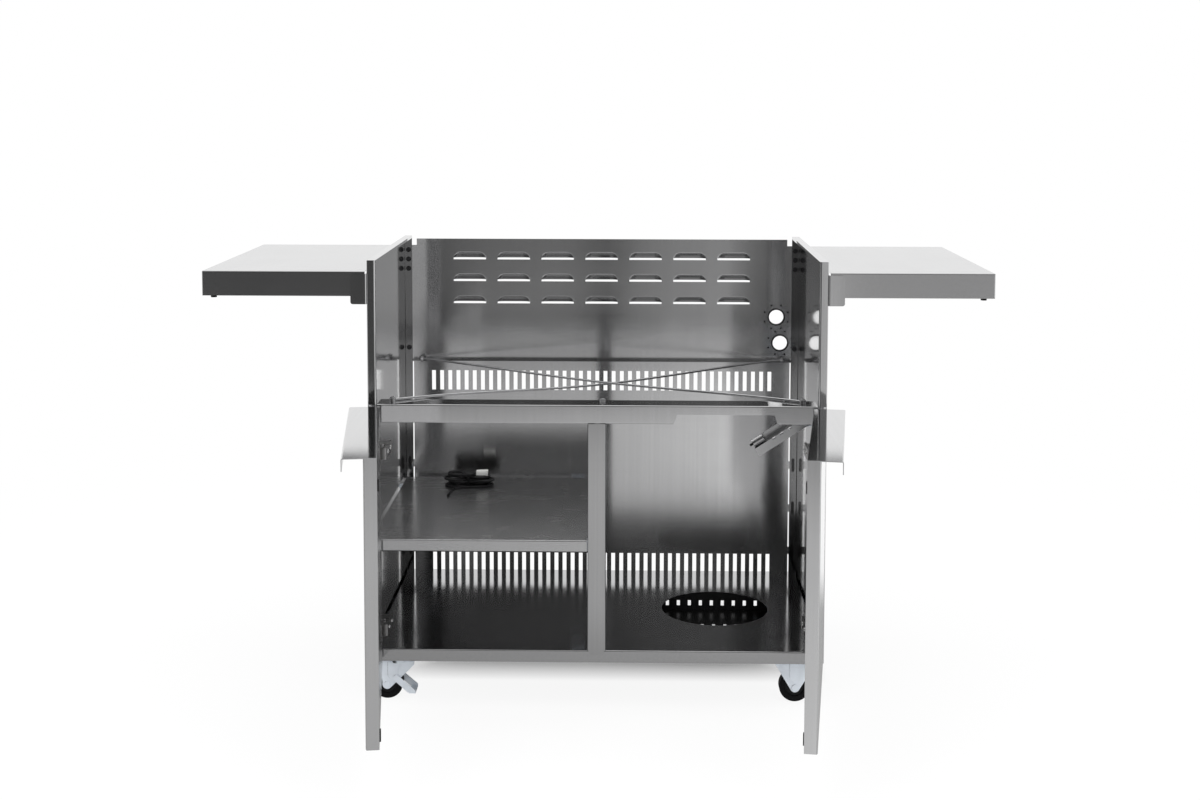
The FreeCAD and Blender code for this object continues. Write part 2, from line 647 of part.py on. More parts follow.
def shelf_pan():
    """Right side shelf: a top with skirts on three sides and a folded edge under them."""
    x, z = SHELF_PIVOT
    y0, y1 = EDGE_GAP, BODY_D - EDGE_GAP
    low = SHELF_LOW
    middle = (y0 + y1) / 2
    inside = SHELF_OUT - SHEET

    def folds(c):
        if near(c.z, SHELF_TOP):
            return not near(c.x, SHELF_IN)
        return near(c.x, SHELF_OUT) and not near(c.z, low) and not near(c.y, middle)

    block = rounded(box(SHELF_IN, SHELF_OUT, y0, y1, low, SHELF_TOP), BEND_R, folds)
    room = box(SHELF_IN - OVERCUT, inside, y0 + SHEET, y1 - SHEET, low - OVERCUT, SHELF_TOP - SHEET)
    start = EAR_OUT + 4 * EDGE_GAP
    pan = fuse(block.cut(room),
               box(start, inside, y0, y0 + SHELF_RETURN, low, low + SHEET),
               box(start, inside, y1 - SHELF_RETURN, y1, low, low + SHEET),
               box(SHELF_OUT - SHELF_END_RETURN, inside, y0 + SHEET, y1 - SHEET, low, low + SHEET))
    before, behind = y0 - OVERCUT, y1 + OVERCUT
    corner = box(SHELF_IN - OVERCUT, x, before, behind, low - OVERCUT, z)
    knuckle = rod((x, before, z), (x, behind, z), SHELF_KNUCKLE_R)
    hole = rod((x, before, z), (x, behind, z), SHELF_PIN_R + RUN_FIT)
    return cut(pan, corner.cut(knuckle), hole)


def shelf_pivots():
    """Pivot bolts of the right shelf, each with its nut inside the skirt."""
    x, z = SHELF_PIVOT
    nut_r, nut_t = SHELF_NUT
    bolts = []
    for face, sign in ((0.0, 1), (BODY_D, -1)):
        end = face + sign * SHELF_PIN_IN
        bolts.append(fuse(rod((x, face - sign * EAR_T, z), (x, end, z), SHELF_PIN_R),
                          rod((x, end - sign * nut_t, z), (x, end, z), nut_r)))
    return bolts


def shelf_feet():
    low = SHELF_LOW - FOOT_H
    return [rod((FOOT_X, y, low), (FOOT_X, y, SHELF_LOW), FOOT_R) for y in (FOOT_Y, BODY_D - FOOT_Y)]


def opened(shape):
    """Swings a piece of the right door from closed to the pose at rest."""
    return turned(shape, (PIVOT_X, PIVOT_Y, 0), (0, 0, 1), DOOR_OPEN)


def door_skin():
    x0, x1 = DOOR_MID_GAP, DOOR_HINGE_X
    pan = box(x0, x1, DOOR_OUTER_Y, DOOR_INNER_Y, DOOR_BOTTOM, DOOR_TOP)
    pan = rounded(pan, BEND_R, lambda c: near(c.y, DOOR_OUTER_Y) and not near(c.z, DOOR_TOP))
    room = box(x0 + SHEET, x1 - SHEET, DOOR_OUTER_Y + SHEET, DOOR_INNER_Y + OVERCUT,
               DOOR_BOTTOM + SHEET, DOOR_TOP - SHEET)
    return pan.cut(room)


def cup_box(grow=0.0):
    """Outer blocks of the two hinge cups in the right door."""
    x1 = DOOR_HINGE_X - SHEET - CUP_FIT
    y1 = DOOR_INNER_Y
    half = CUP[2] / 2 + grow
    return [box(x1 - CUP[0] - grow, x1 + grow, y1 - CUP[1], y1, z - half, z + half) for z in HINGE_Z]


def door_liner():
    inset = SHEET + EDGE_GAP
    plate = box(DOOR_MID_GAP + inset, DOOR_HINGE_X - SHEET - LINER_FIT, DOOR_INNER_Y - SHEET, DOOR_INNER_Y,
                DOOR_BOTTOM + inset, DOOR_TOP - inset)
    return cut(plate, *cup_box(LINER_FIT))


def door_handle():
    """Cap along the top of the door, drawn out and turned down as a pull."""
    y0 = DOOR_OUTER_Y - HANDLE_OUT
    inner = y0 + HANDLE_T
    top = DOOR_TOP + HANDLE_T
    low = top - HANDLE_LIP
    x0, x1 = DOOR_MID_GAP, DOOR_HINGE_X
    block = rounded(box(x0, x1, y0, DOOR_INNER_Y, low, top), HANDLE_ROUND,
                    lambda c: near(c.y, y0) and near(c.z, top))
    room = rounded(box(x0 - OVERCUT, x1 + OVERCUT, inner, DOOR_INNER_Y + OVERCUT, low - OVERCUT, DOOR_TOP),
                   HANDLE_ROUND - HANDLE_T, lambda c: near(c.y, inner) and near(c.z, DOOR_TOP))
    return block.cut(room)


def hinge_cups():
    """Hinge cups of the right door, each with its pin."""
    cups = []
    for block in cup_box():
        b = block.BoundBox
        room = box(b.XMin + CUP_WALL, b.XMax - CUP_WALL, b.YMin + CUP_WALL, b.YMax + OVERCUT,
                   b.ZMin + CUP_WALL, b.ZMax - CUP_WALL)
        pin = rod((PIVOT_X, PIVOT_Y, b.ZMin), (PIVOT_X, PIVOT_Y, b.ZMax), HINGE_PIN_R)
        cups.append(fuse(block.cut(room), pin))
    return cups


def hinge_arms():
    """Cranked arms from the right side panel to the hinge pins; they stay with the body."""
    arms = []
    thick = ARM_T / 2
    inner = PIVOT_X - ARM_REACH - thick
    for z in HINGE_Z:
        low, high = z - KNUCKLE_H / 2, z + KNUCKLE_H / 2
        arm = fuse(rod((PIVOT_X, PIVOT_Y, low), (PIVOT_X, PIVOT_Y, high), KNUCKLE_R),
                   box(inner, PIVOT_X, PIVOT_Y - thick, PIVOT_Y + thick, low, high),
                   box(inner, inner + ARM_T, PIVOT_Y - thick, HINGE_FOOT[1], low, high),
                   box(inner, XI, HINGE_FOOT[0], HINGE_FOOT[1], z - HINGE_FOOT_H / 2, z + HINGE_FOOT_H / 2))
        bore = rod((PIVOT_X, PIVOT_Y, low - OVERCUT), (PIVOT_X, PIVOT_Y, high + OVERCUT), HINGE_PIN_R + RUN_FIT)
        arms.append(arm.cut(bore))
    return arms


def door_bumpers():
    x0 = POST_W / 2 + BUMPER_IN
    wide, thick, tall = BUMPER
    y0 = DOOR_INNER_Y
    return [box(x0, x0 + wide, y0, y0 + thick, z - tall / 2, z + tall / 2) for z in BUMPER_Z]


def caster_mount():
    """Channel over one caster, between the floor pan and the caster plate."""
    x0, x1 = MOUNT_X
    y0, y1 = MOUNT_Y
    top = FLOOR_TOP - SHEET
    shape = fuse(box(x0, x1, y0, y1, BASE_Z, BASE_Z + MOUNT_T),
                 box(x0, x0 + MOUNT_T, y0, y1, BASE_Z, top),
                 box(x1 - MOUNT_T, x1, y0, y1, BASE_Z, top),
                 box(x0 - MOUNT_FLANGE, x0 + MOUNT_T, y0, y1, top - MOUNT_T, top),
                 box(x1 - MOUNT_T, x1 + MOUNT_FLANGE, y0, y1, top - MOUNT_T, top))
    return cut(shape, *[hole_z(at, BASE_Z, M6_R + HOLE_FIT) for at in bolt_places() if at[0] < x1])


def caster_plate():
    """Top plate of the front right caster."""
    lx, ly, thick = PLATE
    plate = box(CASTER_X - lx / 2, CASTER_X + lx / 2, CASTER_Y - ly / 2, CASTER_Y + ly / 2, PLATE_LOW, BASE_Z)
    plate = rounded(plate, PLATE_ROUND, lambda c: near(c.z, BASE_Z - thick / 2))
    return cut(plate, *[hole_z(at, BASE_Z, M6_R + HOLE_FIT) for at in bolt_places()])


def caster_bolts():
    """Bolts of one caster, through the channel or through the side panel's lower return."""
    bolts = []
    for at in bolt_places():
        top = BASE_Z + (MOUNT_T if at[0] < MOUNT_X[1] else SHEET)
        bolts.append(bolt(((*at, PLATE_LOW), (*at, top)), M6_R, M6_HEAD))
    return bolts


def leg(points, axle_x, pad_x, pad_top, side):
    """A fork leg on one side of a caster at the swivel origin, with its pressed pad."""
    y0, y1 = sorted((side * LEG_IN, side * (LEG_IN + LEG_T)))
    outer = side * (LEG_IN + LEG_T)
    p0, p1 = sorted((outer, outer + side * PAD_T))
    pad_low = WHEEL_R + PAD_UP
    return fuse(prism_xz(points, y0, y1),
                rod((axle_x, y0, WHEEL_R), (axle_x, y1, WHEEL_R), LEG_FOOT_R),
                box(pad_x - PAD_R, pad_x + PAD_R, p0, p1, pad_low, pad_top),
                rod((pad_x, p0, pad_low), (pad_x, p1, pad_low), PAD_R))


def rigid_fork():
    """Fork and plate of a fixed caster in one pressing, at the front right place."""
    top = PLATE_LOW + PLATE[2] / 2
    reach = PLATE[0] / 2 - 3.0
    foot = WHEEL_R - 6.0
    shoulder = PLATE_LOW - 3.0
    outline = [(-reach, top), (reach, top), (reach, shoulder), (8.0, foot), (-8.0, foot), (-reach, shoulder)]
    legs = [shifted(leg(outline, 0.0, 0.0, top, side), CASTER_X, CASTER_Y) for side in (-1, 1)]
    bore = rod((CASTER_X, 0, WHEEL_R), (CASTER_X, 2 * CASTER_Y, WHEEL_R), AXLE_R + RUN_FIT)
    return fuse(*legs, caster_plate()).cut(bore)


def axle(x, y):
    """Axle with a rivet head outside each leg."""
    end = LEG_IN + LEG_T + RUN_FIT
    return bolt(((x, y - end, WHEEL_R), (x, y + end, WHEEL_R)), AXLE_R, RIVET)


def tyre(x, y):
    half = TREAD_W / 2
    ring = rod((x, y - half, WHEEL_R), (x, y + half, WHEEL_R), WHEEL_R)
    rims = [e for e in ring.Edges if isinstance(e.Curve, Part.Circle)]
    ring = ring.makeFillet(TREAD_ROUND, rims)
    return ring.cut(rod((x, y - TREAD_W, WHEEL_R), (x, y + TREAD_W, WHEEL_R), RIM_R))


def hub(x, y):
    half = HUB_W / 2
    web = HUB_DISC / 2
    disc = fuse(rod((x, y - half, WHEEL_R), (x, y + half, WHEEL_R), HUB_BOSS_R),
                rod((x, y - web, WHEEL_R), (x, y + web, WHEEL_R), RIM_R - RUN_FIT))
    return disc.cut(rod((x, y - HUB_W, WHEEL_R), (x, y + HUB_W, WHEEL_R), AXLE_R + RUN_FIT))


def swivel_plate(x, y):
    """Plate of a swivel caster with its upper race and its king pin."""
    plate = shifted(caster_plate(), x - CASTER_X, y - CASTER_Y)
    head_r, head_t = KING_HEAD
    head_top = CROWN_Z - TURN_GAP
    return fuse(plate,
                rod((x, y, PLATE_LOW - RACE_T), (x, y, PLATE_LOW), RACE_R + MOUNT_T),
                rod((x, y, head_top - head_t), (x, y, PLATE_LOW), KING_R),
                rod((x, y, head_top - head_t), (x, y, head_top), head_r))


def swivel_fork(x, y):
    """Turning fork of a swivel caster, trailing to the left."""
    x0, x1 = CROWN_X
    top = CROWN_Z + CROWN_T / 2
    outline = [(x0, top), (x1, top), (x1, CROWN_Z - 4.0), (9.0 - TRAIL, WHEEL_R - 5.0),
               (-9.0 - TRAIL, WHEEL_R - 3.0), (x0 - 4.0, CROWN_Z - 8.0)]
    legs = [leg(outline, -TRAIL, -TRAIL / 2, top, side) for side in (-1, 1)]
    wide = LEG_IN + LEG_T
    race = PLATE_LOW - RACE_T - TURN_GAP
    crown = [box(x0, x1, -wide, wide, CROWN_Z, CROWN_Z + CROWN_T),
             rod((0, 0, CROWN_Z), (0, 0, race), RACE_R)]
    bores = [rod((0, 0, 0), (0, 0, HEIGHT), KING_R + RUN_FIT)]
    for at, radius in (((-TRAIL, WHEEL_R), AXLE_R), (BRAKE_PIVOT, BRAKE_PIN_R)):
        bores.append(rod((at[0], -2 * wide, at[1]), (at[0], 2 * wide, at[1]), radius + RUN_FIT))
    return shifted(cut(fuse(*legs, *crown), *bores), x, y)


def brake_pedal(x, y):
    """Stirrup outside the fork legs with a foot plate."""
    px, pz = BRAKE_PIVOT
    tx, tz = BRAKE_TIP
    before, behind = BRAKE_FOOT
    inner = LEG_IN + LEG_T + PAD_T + TURN_GAP
    outer = inner + BRAKE_T
    cheek = [(px - 4.0, pz - 5.0), (px + 4.0, pz + 5.0), (tx + behind, tz + 3.0), (tx + behind, tz - 3.0),
             (tx - before - BRAKE_T, tz - 1.0)]
    pieces = [box(tx - before, tx + behind, -outer, outer, tz - 3.0, tz - 3.0 + BRAKE_T)]
    for side in (-1, 1):
        y0, y1 = sorted((side * inner, side * outer))
        pieces.append(prism_xz(cheek, y0, y1))
        pieces.append(rod((px, y0, pz), (px, y1, pz), BRAKE_EYE_R))
        pieces.append(rod((px, side * outer, pz), (px, side * (LEG_IN + TURN_GAP), pz), BRAKE_PIN_R))
    return shifted(fuse(*pieces), x, y)


def along_arm(shape):
    """Places a retainer piece made along -X from its pivot."""
    x, z = RETAINER_PIVOT
    placed = shifted(shape, x, RETAINER_Y, z)
    return turned(placed, (x, 0, z), (0, 1, 0), -RETAINER_TILT)


def retainer_bracket():
    """Ear on the right side skin with the pin that the retainer arm turns on."""
    x, z = RETAINER_PIVOT
    ear_r, ear_t = RETAINER_EAR
    deep, tall = RETAINER_FOOT
    pin_r, head_r, head_t = RETAINER_PIN
    ear = RETAINER_Y + RETAINER_T + TURN_GAP
    head = RETAINER_Y - TURN_GAP
    return fuse(box(x, XI, ear, ear + ear_t, z - ear_r, z + ear_r),
                rod((x, ear, z), (x, ear + ear_t, z), ear_r),
                box(XI - ear_t, XI, ear, ear + deep, z - tall / 2, z + tall / 2),
                rod((x, head - head_t, z), (x, ear, z), pin_r),
                rod((x, head - head_t, z), (x, head, z), head_r))


def barrel_axis():
    """Middle of the plunger barrel across the arm, as (y, z), and its closed end along the arm."""
    return RETAINER_FLANGE / 2, RETAINER_WALL / 2 + BARREL_R - BARREL_SINK, BARREL_L + BARREL_IN - RETAINER_LEN


def retainer_arm():
    """Slotted angle that leans over the tank, with a ribbed barrel at its end."""
    top = RETAINER_WALL / 2
    wall = box(-RETAINER_LEN, RETAINER_TAIL, 0, RETAINER_T, -top, top)
    start = -RETAINER_FLANGE_FROM
    low = top - RETAINER_T
    flange = box(-RETAINER_LEN, start, 0, RETAINER_FLANGE, low, top)
    back = box(-RETAINER_LEN, start, RETAINER_FLANGE - RETAINER_T, RETAINER_FLANGE, low, top + RETAINER_BACK)
    holes = [rod((0, -OVERCUT, 0), (0, OVERCUT, 0), RETAINER_PIN[0] + RUN_FIT)]
    long, deep = RETAINER_SLOT
    for index in range(RETAINER_SLOTS):
        x = -RETAINER_SLOT_FROM - index * RETAINER_SLOT_PITCH
        holes.append(box(x - long / 2, x + long / 2, -OVERCUT, OVERCUT, top - deep, top + OVERCUT))
    y, z, end = barrel_axis()
    mouth = end - BARREL_L
    barrel = [rod((mouth, y, z), (end, y, z), BARREL_R - 1.0)]
    for rib in range(BARREL_RIBS):
        x = end - RIB_FROM - rib * RIB_PITCH
        barrel.append(rod((x - RIB_W, y, z), (x, y, z), BARREL_R))
    holes.append(rod((mouth - OVERCUT, y, z), (end - PLUNGER_STOP, y, z), PLUNGER_R + RUN_FIT))
    return along_arm(cut(fuse(wall, flange, back, *barrel), *holes))


def retainer_pin():
    y, z, end = barrel_axis()
    return along_arm(rod((end - BARREL_L - PLUNGER_OUT, y, z), (end - PLUNGER_END, y, z), PLUNGER_R))


def hank_stations():
    """Loop sizes and heights of the hank, one (end turn, waist, height) per loop."""
    stations = []
    for layer in range(HANK_LAYERS):
        rings = (1, 0) if layer % 2 == 0 else (0, 1)
        for ring in rings:
            stations.append((HANK_TURN[ring], HANK_WAIST[ring], layer * HANK_CLIMB))
    return stations


def bend(path, end):
    """Two equal arcs to a point, leaving and arriving along X."""
    start = path[-1][-1]
    along = end.x - start.x
    aside = Vector(0, end.y - start.y, end.z - start.z)
    if aside.Length < 1e-6:
        path.append([start, end])
        return
    offset = aside.Length
    radius = (along * along + offset * offset) / (4 * offset)
    turn = math.asin(abs(along) / 2 / radius)
    side = aside / offset
    forward = math.copysign(radius * math.sin(turn / 2), along)
    half = Vector(forward, 0, 0) + side * (radius * (1 - math.cos(turn / 2)))
    middle = (start + end) / 2
    path.append([start, start + half, middle])
    path.append([middle, end - half, end])


def half_turn(path, radius, sign):
    """End turn of a loop; sign is the end of the hank that it goes round."""
    start = path[-1][-1]
    centre = Vector(start.x, start.y + sign * radius, start.z)
    path.append([start, centre + Vector(sign * radius, 0, 0), centre + Vector(0, sign * radius, 0)])


def hank_path():
    """Arcs and lines of the lead from its loose tail to its connector."""
    base = Vector(LEAD_AT[0], LEAD_AT[1], MID_TOP + LEAD_R + LEAD_LIFT)

    def point(x, y, z=0.0):
        return base + Vector(x, y, z)

    stations = hank_stations()
    waist0 = -HANK_TURN[1] - HANK_CLIMB
    knee = point(-TAIL_TURN, waist0 - TAIL_TURN)
    path = [[knee - Vector(0, TAIL_LEN, 0), knee]]
    swing = TAIL_TURN * math.sqrt(0.5)
    path.append([knee, point(-swing, waist0 - TAIL_TURN + swing), point(0, waist0)])
    for index, (turn, waist, height) in enumerate(stations):
        bend(path, point(HANK_HALF, -turn, height))
        half_turn(path, turn, 1)
        bend(path, point(0, waist, height))
        bend(path, point(-HANK_HALF, turn, height))
        half_turn(path, turn, -1)
        if index + 1 < len(stations):
            after = stations[index + 1]
            bend(path, point(0, -(waist + after[1]) / 2, (height + after[2]) / 2))
    top = stations[-1][2] + LEAD_R + PLUG[2] / 2 + LEAD_LIFT
    bend(path, point(-2, -HANK_WAIST[1], stations[-1][2] + HANK_CLIMB))
    bend(path, point(PLUG_X - 3 * LEAD_R, 0, top))
    path.append([path[-1][-1], point(PLUG_X, 0, top)])
    return path


def wiring_lead(path):
    edges = []
    for stretch in path:
        if len(stretch) == 2:
            edges.append(Part.LineSegment(*stretch).toShape())
        else:
            edges.append(Part.Arc(*stretch).toShape())
    spine = Part.Wire(edges)
    start = path[0][0]
    return tube(spine, start, path[0][1] - start, LEAD_R), spine


def lead_connector(path):
    at = path[-1][-1]
    long, wide, tall = PLUG
    block = box(at.x, at.x + long, at.y - wide / 2, at.y + wide / 2, at.z - tall / 2, at.z + tall / 2)
    return rounded(block, PLUG_ROUND, lambda c: near(c.x, at.x + long / 2))


def report_lead(tube, spine):
    """Prints the lead's length, its volume against section times length, and its least gap to itself."""
    count = 1400
    points = spine.discretize(Number=count)
    step = spine.Length / (count - 1)
    skip = int(6 * LEAD_R / step) + 1
    least = min((a - b).Length for i, a in enumerate(points) for b in points[i + skip:])
    section = math.pi * LEAD_R ** 2
    print("lead length %.0f mm, volume ratio %.3f, least gap %.2f mm"
          % (spine.Length, tube.Volume / (section * spine.Length), least - 2 * LEAD_R))


def build_body():
    right = side_panel()
    add("right_side_panel", right)
    add("left_side_panel", mirrored(right))
    add("upper_back_panel", upper_back())
    add("lower_back_panel", lower_back())
    add("floor_pan", floor_pan())
    add("tank_tray", tank_tray())
    add("front_rail", front_rail())
    add("centre_post", centre_post())
    add("mid_shelf", mid_shelf())
    add("shelf_clips", *shelf_clips())
    add("brace_rod_a", brace(1, BRACE_DIP[0]))
    add("brace_rod_b", brace(-1, BRACE_DIP[1]))
    add("brace_bolts", *[brace_bolt((sign * x, y)) for x, y in (BRACE_FRONT, BRACE_BACK) for sign in (-1, 1)])
    add("hose_grommets", *[grommet(x, z) for x, z in PORTS])
    bolts = []
    for z in BACK_BOLT_Z:
        ends = ((BACK_BOLT_X, BODY_D - SHEET, z), (BACK_BOLT_X, BODY_D + SHEET, z))
        bolts.append(bolt(ends, M5_R, M5_HEAD))
    add("body_bolts", *bolts, *[mirrored(each) for each in bolts])


def build_doors():
    pieces = {"door_skin": [door_skin()], "door_liner": [door_liner()], "door_handle": [door_handle()],
              "hinge_cups": hinge_cups(), "door_bumpers": door_bumpers()}
    for name, shapes in pieces.items():
        swung = [opened(shape) for shape in shapes]
        add("right_" + name, *swung)
        add("left_" + name, *[mirrored(shape) for shape in swung])
    arms = hinge_arms()
    add("right_hinge_arms", *arms)
    add("left_hinge_arms", *[mirrored(arm) for arm in arms])


def build_shelves():
    pieces = {"shelf_bracket": [shelf_bracket()], "shelf_pan": [shelf_pan()], "shelf_feet": shelf_feet()}
    for name, shapes in pieces.items():
        add("right_" + name, *shapes)
        add("left_" + name, *[mirrored(shape) for shape in shapes])
    pivots = shelf_pivots()
    add("shelf_pivot_bolts", *pivots, *[mirrored(pivot) for pivot in pivots])


def to_rear(shape):
    """Mirrors a piece of a front caster to the rear one."""
    return shape.mirror(Vector(0, BODY_D / 2, 0), Vector(0, 1, 0))


def build_casters():
    mount = caster_mount()
    mounts = [mount, to_rear(mount)]
    add("caster_mounts", *mounts, *[mirrored(each) for each in mounts])
    bolts = caster_bolts()
    bolts += [to_rear(each) for each in bolts]
    add("caster_bolts", *bolts, *[mirrored(each) for each in bolts])
    rear_y = BODY_D - CASTER_Y
    fork = rigid_fork()
    add("rf_caster_fork", fork)
    add("rr_caster_fork", to_rear(fork))
    add("rigid_caster_axles", axle(CASTER_X, CASTER_Y), axle(CASTER_X, rear_y))
    for name, y in (("rf", CASTER_Y), ("rr", rear_y)):
        add(name + "_tyre", tyre(CASTER_X, y))
        add(name + "_hub", hub(CASTER_X, y))
    wheel_x = -CASTER_X - TRAIL
    for name, y in (("lf", CASTER_Y), ("lr", rear_y)):
        add(name + "_caster_plate", swivel_plate(-CASTER_X, y))
        add(name + "_caster_fork", swivel_fork(-CASTER_X, y))
        add(name + "_axle", axle(wheel_x, y))
        add(name + "_tyre", tyre(wheel_x, y))
        add(name + "_hub", hub(wheel_x, y))
        add(name + "_brake_pedal", brake_pedal(-CASTER_X, y))


def build_loose():
    add("retainer_bracket", retainer_bracket())
    add("retainer_arm", retainer_arm())
    add("retainer_pin", retainer_pin())
    path = hank_path()
    tube, spine = wiring_lead(path)
    report_lead(tube, spine)
    add("wiring_lead", tube)
    add("lead_connector", lead_connector(path))


def main():
    build_body()
    build_doors()
    build_shelves()
    build_casters()
    build_loose()
    os.makedirs("parts", exist_ok=True)
    for name, shape in nodes.items():
        if not shape.isValid() or any(solid.Volume <= 0 for solid in shape.Solids):
            print("not a sound solid:", name)
        shape.exportStep("parts/" + name + ".step")
    whole = Part.makeCompound(list(nodes.values())).BoundBox
    print("nodes %d, box x %.1f..%.1f y %.1f..%.1f z %.1f..%.1f"
          % (len(nodes), whole.XMin, whole.XMax, whole.YMin, whole.YMax, whole.ZMin, whole.ZMax))
    print("front face at y %.3f, door pins at x %.3f y %.3f" % (FRONT_Y, PIVOT_X, PIVOT_Y + FRONT_Y))


main()
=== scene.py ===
"""Looks of a free-standing stainless grill cart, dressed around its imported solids."""

import logging
import math
from dataclasses import dataclass, field
from enum import Enum
from typing import Any, Iterable

import bmesh
import bpy
from mathutils import Matrix, Vector


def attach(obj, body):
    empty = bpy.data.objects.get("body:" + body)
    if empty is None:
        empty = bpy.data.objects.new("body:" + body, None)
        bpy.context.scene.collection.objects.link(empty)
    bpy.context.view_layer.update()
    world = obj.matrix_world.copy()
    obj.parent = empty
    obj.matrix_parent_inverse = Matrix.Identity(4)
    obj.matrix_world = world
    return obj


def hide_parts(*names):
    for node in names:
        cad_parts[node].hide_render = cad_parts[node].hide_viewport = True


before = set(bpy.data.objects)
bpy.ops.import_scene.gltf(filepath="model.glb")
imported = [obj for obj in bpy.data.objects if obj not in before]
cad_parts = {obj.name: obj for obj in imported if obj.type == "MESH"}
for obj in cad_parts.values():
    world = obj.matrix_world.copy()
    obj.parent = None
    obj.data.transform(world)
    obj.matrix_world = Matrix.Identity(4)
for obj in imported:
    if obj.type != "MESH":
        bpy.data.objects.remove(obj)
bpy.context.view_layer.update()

Colour = tuple[float, float, float]
Point = tuple[float, float, float]
Pair = tuple[float, float]
Profile = tuple[Pair, ...]          # radius and height of each ring of a turned form, or stops of a level
Socket = bpy.types.NodeSocket

log = logging.getLogger("grill_cart")

FRONT_Y = -0.0463415        # front face of the body in the shared frame
PHOTO_W = 1200.0            # width and height of the picture that the camera matches, in pixels
PHOTO_H = 800.0
WHITE = (1.0, 1.0, 1.0, 1.0)
NOISE = (0.3, 0.7)          # range that holds most of a noise pattern
WELD_GAP = 1e-6             # points nearer than this are one, in metres
EDGE_TURN = 40.0            # edges that turn by more than this many degrees are broken
SMOOTH_TURN = 38.0          # edges that turn by more than this many degrees stay sharp


class Side(Enum):
    """Side of the cart, with its sign along X."""

    LEFT = -1
    RIGHT = 1

    @property
    def word(self) -> str:
        """Word that starts the names of this side's nodes."""
        return self.name.lower()


class Smear(Enum):
    """Way that a brushed sheet draws out its reflections, across its grain."""

    UPRIGHT = (0.0, 0.05, 1.0)
    DEEP = (0.0, 1.0, 0.7)


class Facing(Enum):
    """Way that a fastener looks: the turn, in degrees, that brings its Z axis there, and the turn's axis."""

    UP = (0.0, "X")
    DOWN = (180.0, "X")
    FRONT = (90.0, "X")
    REAR = (-90.0, "X")
    RIGHT = (90.0, "Y")
    LEFT = (-90.0, "Y")

    def at(self, x: float, y: float, z: float) -> Matrix:
        """Place at a point, with Z along this way."""
        angle, axis = self.value
        return Matrix.Translation((x, y, z)) @ Matrix.Rotation(math.radians(angle), 4, axis)


@dataclass
class NodeBoard:
    """A node tree, with short calls to place nodes and join them."""

    tree: bpy.types.NodeTree

    def feed(self, node: bpy.types.Node, inputs: dict[Any, Any]) -> None:
        """Set or join the inputs of a node.

        Args:
            node: the node.
            inputs: input socket names or numbers, each with a value or the socket that feeds it.
        """
        for socket, value in inputs.items():
            if isinstance(value, Socket):
                self.tree.links.new(value, node.inputs[socket])
            else:
                node.inputs[socket].default_value = value

    def put(self, kind: str, inputs: dict[Any, Any] | None = None, **settings: Any) -> bpy.types.Node:
        """Place a node.

        Args:
            kind: type of the node without the words ShaderNode.
            inputs: inputs as feed takes them.
            settings: attributes of the node.

        Returns:
            The new node.
        """
        node = self.tree.nodes.new("ShaderNode" + kind)
        for name, value in settings.items():
            setattr(node, name, value)
        self.feed(node, inputs or {})
        return node

    def math(self, operation: str, first: Any, second: Any = 0.0) -> Socket:
        """Value of a sum, product or other operation on two values or sockets."""
        return self.put("Math", {0: first, 1: second}, operation=operation).outputs[0]

    def vector(self, operation: str, first: Any, second: Any = (0.0, 0.0, 0.0)) -> Socket:
        """Vector from an operation on two vectors or sockets."""
        return self.put("VectorMath", {0: first, 1: second}, operation=operation).outputs[0]

    def apart(self, vector: Socket) -> tuple[Socket, ...]:
        """X, Y and Z of a vector."""
        return tuple(self.put("SeparateXYZ", {0: vector}).outputs)

    def facing(self) -> tuple[Socket, ...]:
        """X, Y and Z of the way that the surface looks."""
        return self.apart(self.put("NewGeometry").outputs["Normal"])

    def noise(self, **inputs: Any) -> Socket:
        """Value of a noise pattern."""
        return self.put("TexNoise", inputs).outputs[0]

    def bump(self, strength: float, distance: float, height: Socket) -> Socket:
        """Normal with a relief on it."""
        return self.put("Bump", {"Strength": strength, "Distance": distance, "Height": height}).outputs[0]

    def span(self, value: Any, low: Any, high: Any, to_low: Any = 0.0, to_high: Any = 1.0) -> Socket:
        """Value carried from one range to another, held at its ends."""
        inputs = {"Value": value, "From Min": low, "From Max": high, "To Min": to_low, "To Max": to_high}
        return self.put("MapRange", inputs).outputs["Result"]

    def levels(self, value: Any, stops: Profile) -> Socket:
        """Grey level along a value.

        Args:
            value: the value or its socket.
            stops: value and level of each stop, in order.

        Returns:
            The level's socket, held past the first and the last stop.
        """
        low, high = stops[0][0], stops[-1][0]
        ramp = self.put("ValToRGB", {0: self.span(value, low, high)})
        marks = ramp.color_ramp.elements
        for index, (place, level) in enumerate(stops):
            at = (place - low) / (high - low)
            mark = marks[index] if index < 2 else marks.new(at)
            mark.position = at
            mark.color = (level, level, level, 1.0)
        return ramp.outputs["Color"]

    def mix(self, factor: Any, first: Any, second: Any) -> Socket:
        """Colour between two colours."""
        return self.put("Mix", {0: factor, 6: first, 7: second}, data_type="RGBA").outputs[2]

    def either(self, share: Socket, first: bpy.types.Node, second: bpy.types.Node) -> bpy.types.Node:
        """Shader between the shaders of two nodes."""
        return self.put("MixShader", {0: share, 1: first.outputs[0], 2: second.outputs[0]})


def opaque(colour: Colour, shade: float = 1.0) -> tuple[float, float, float, float]:
    """Colour times a shade, with full alpha."""
    return (colour[0] * shade, colour[1] * shade, colour[2] * shade, 1.0)


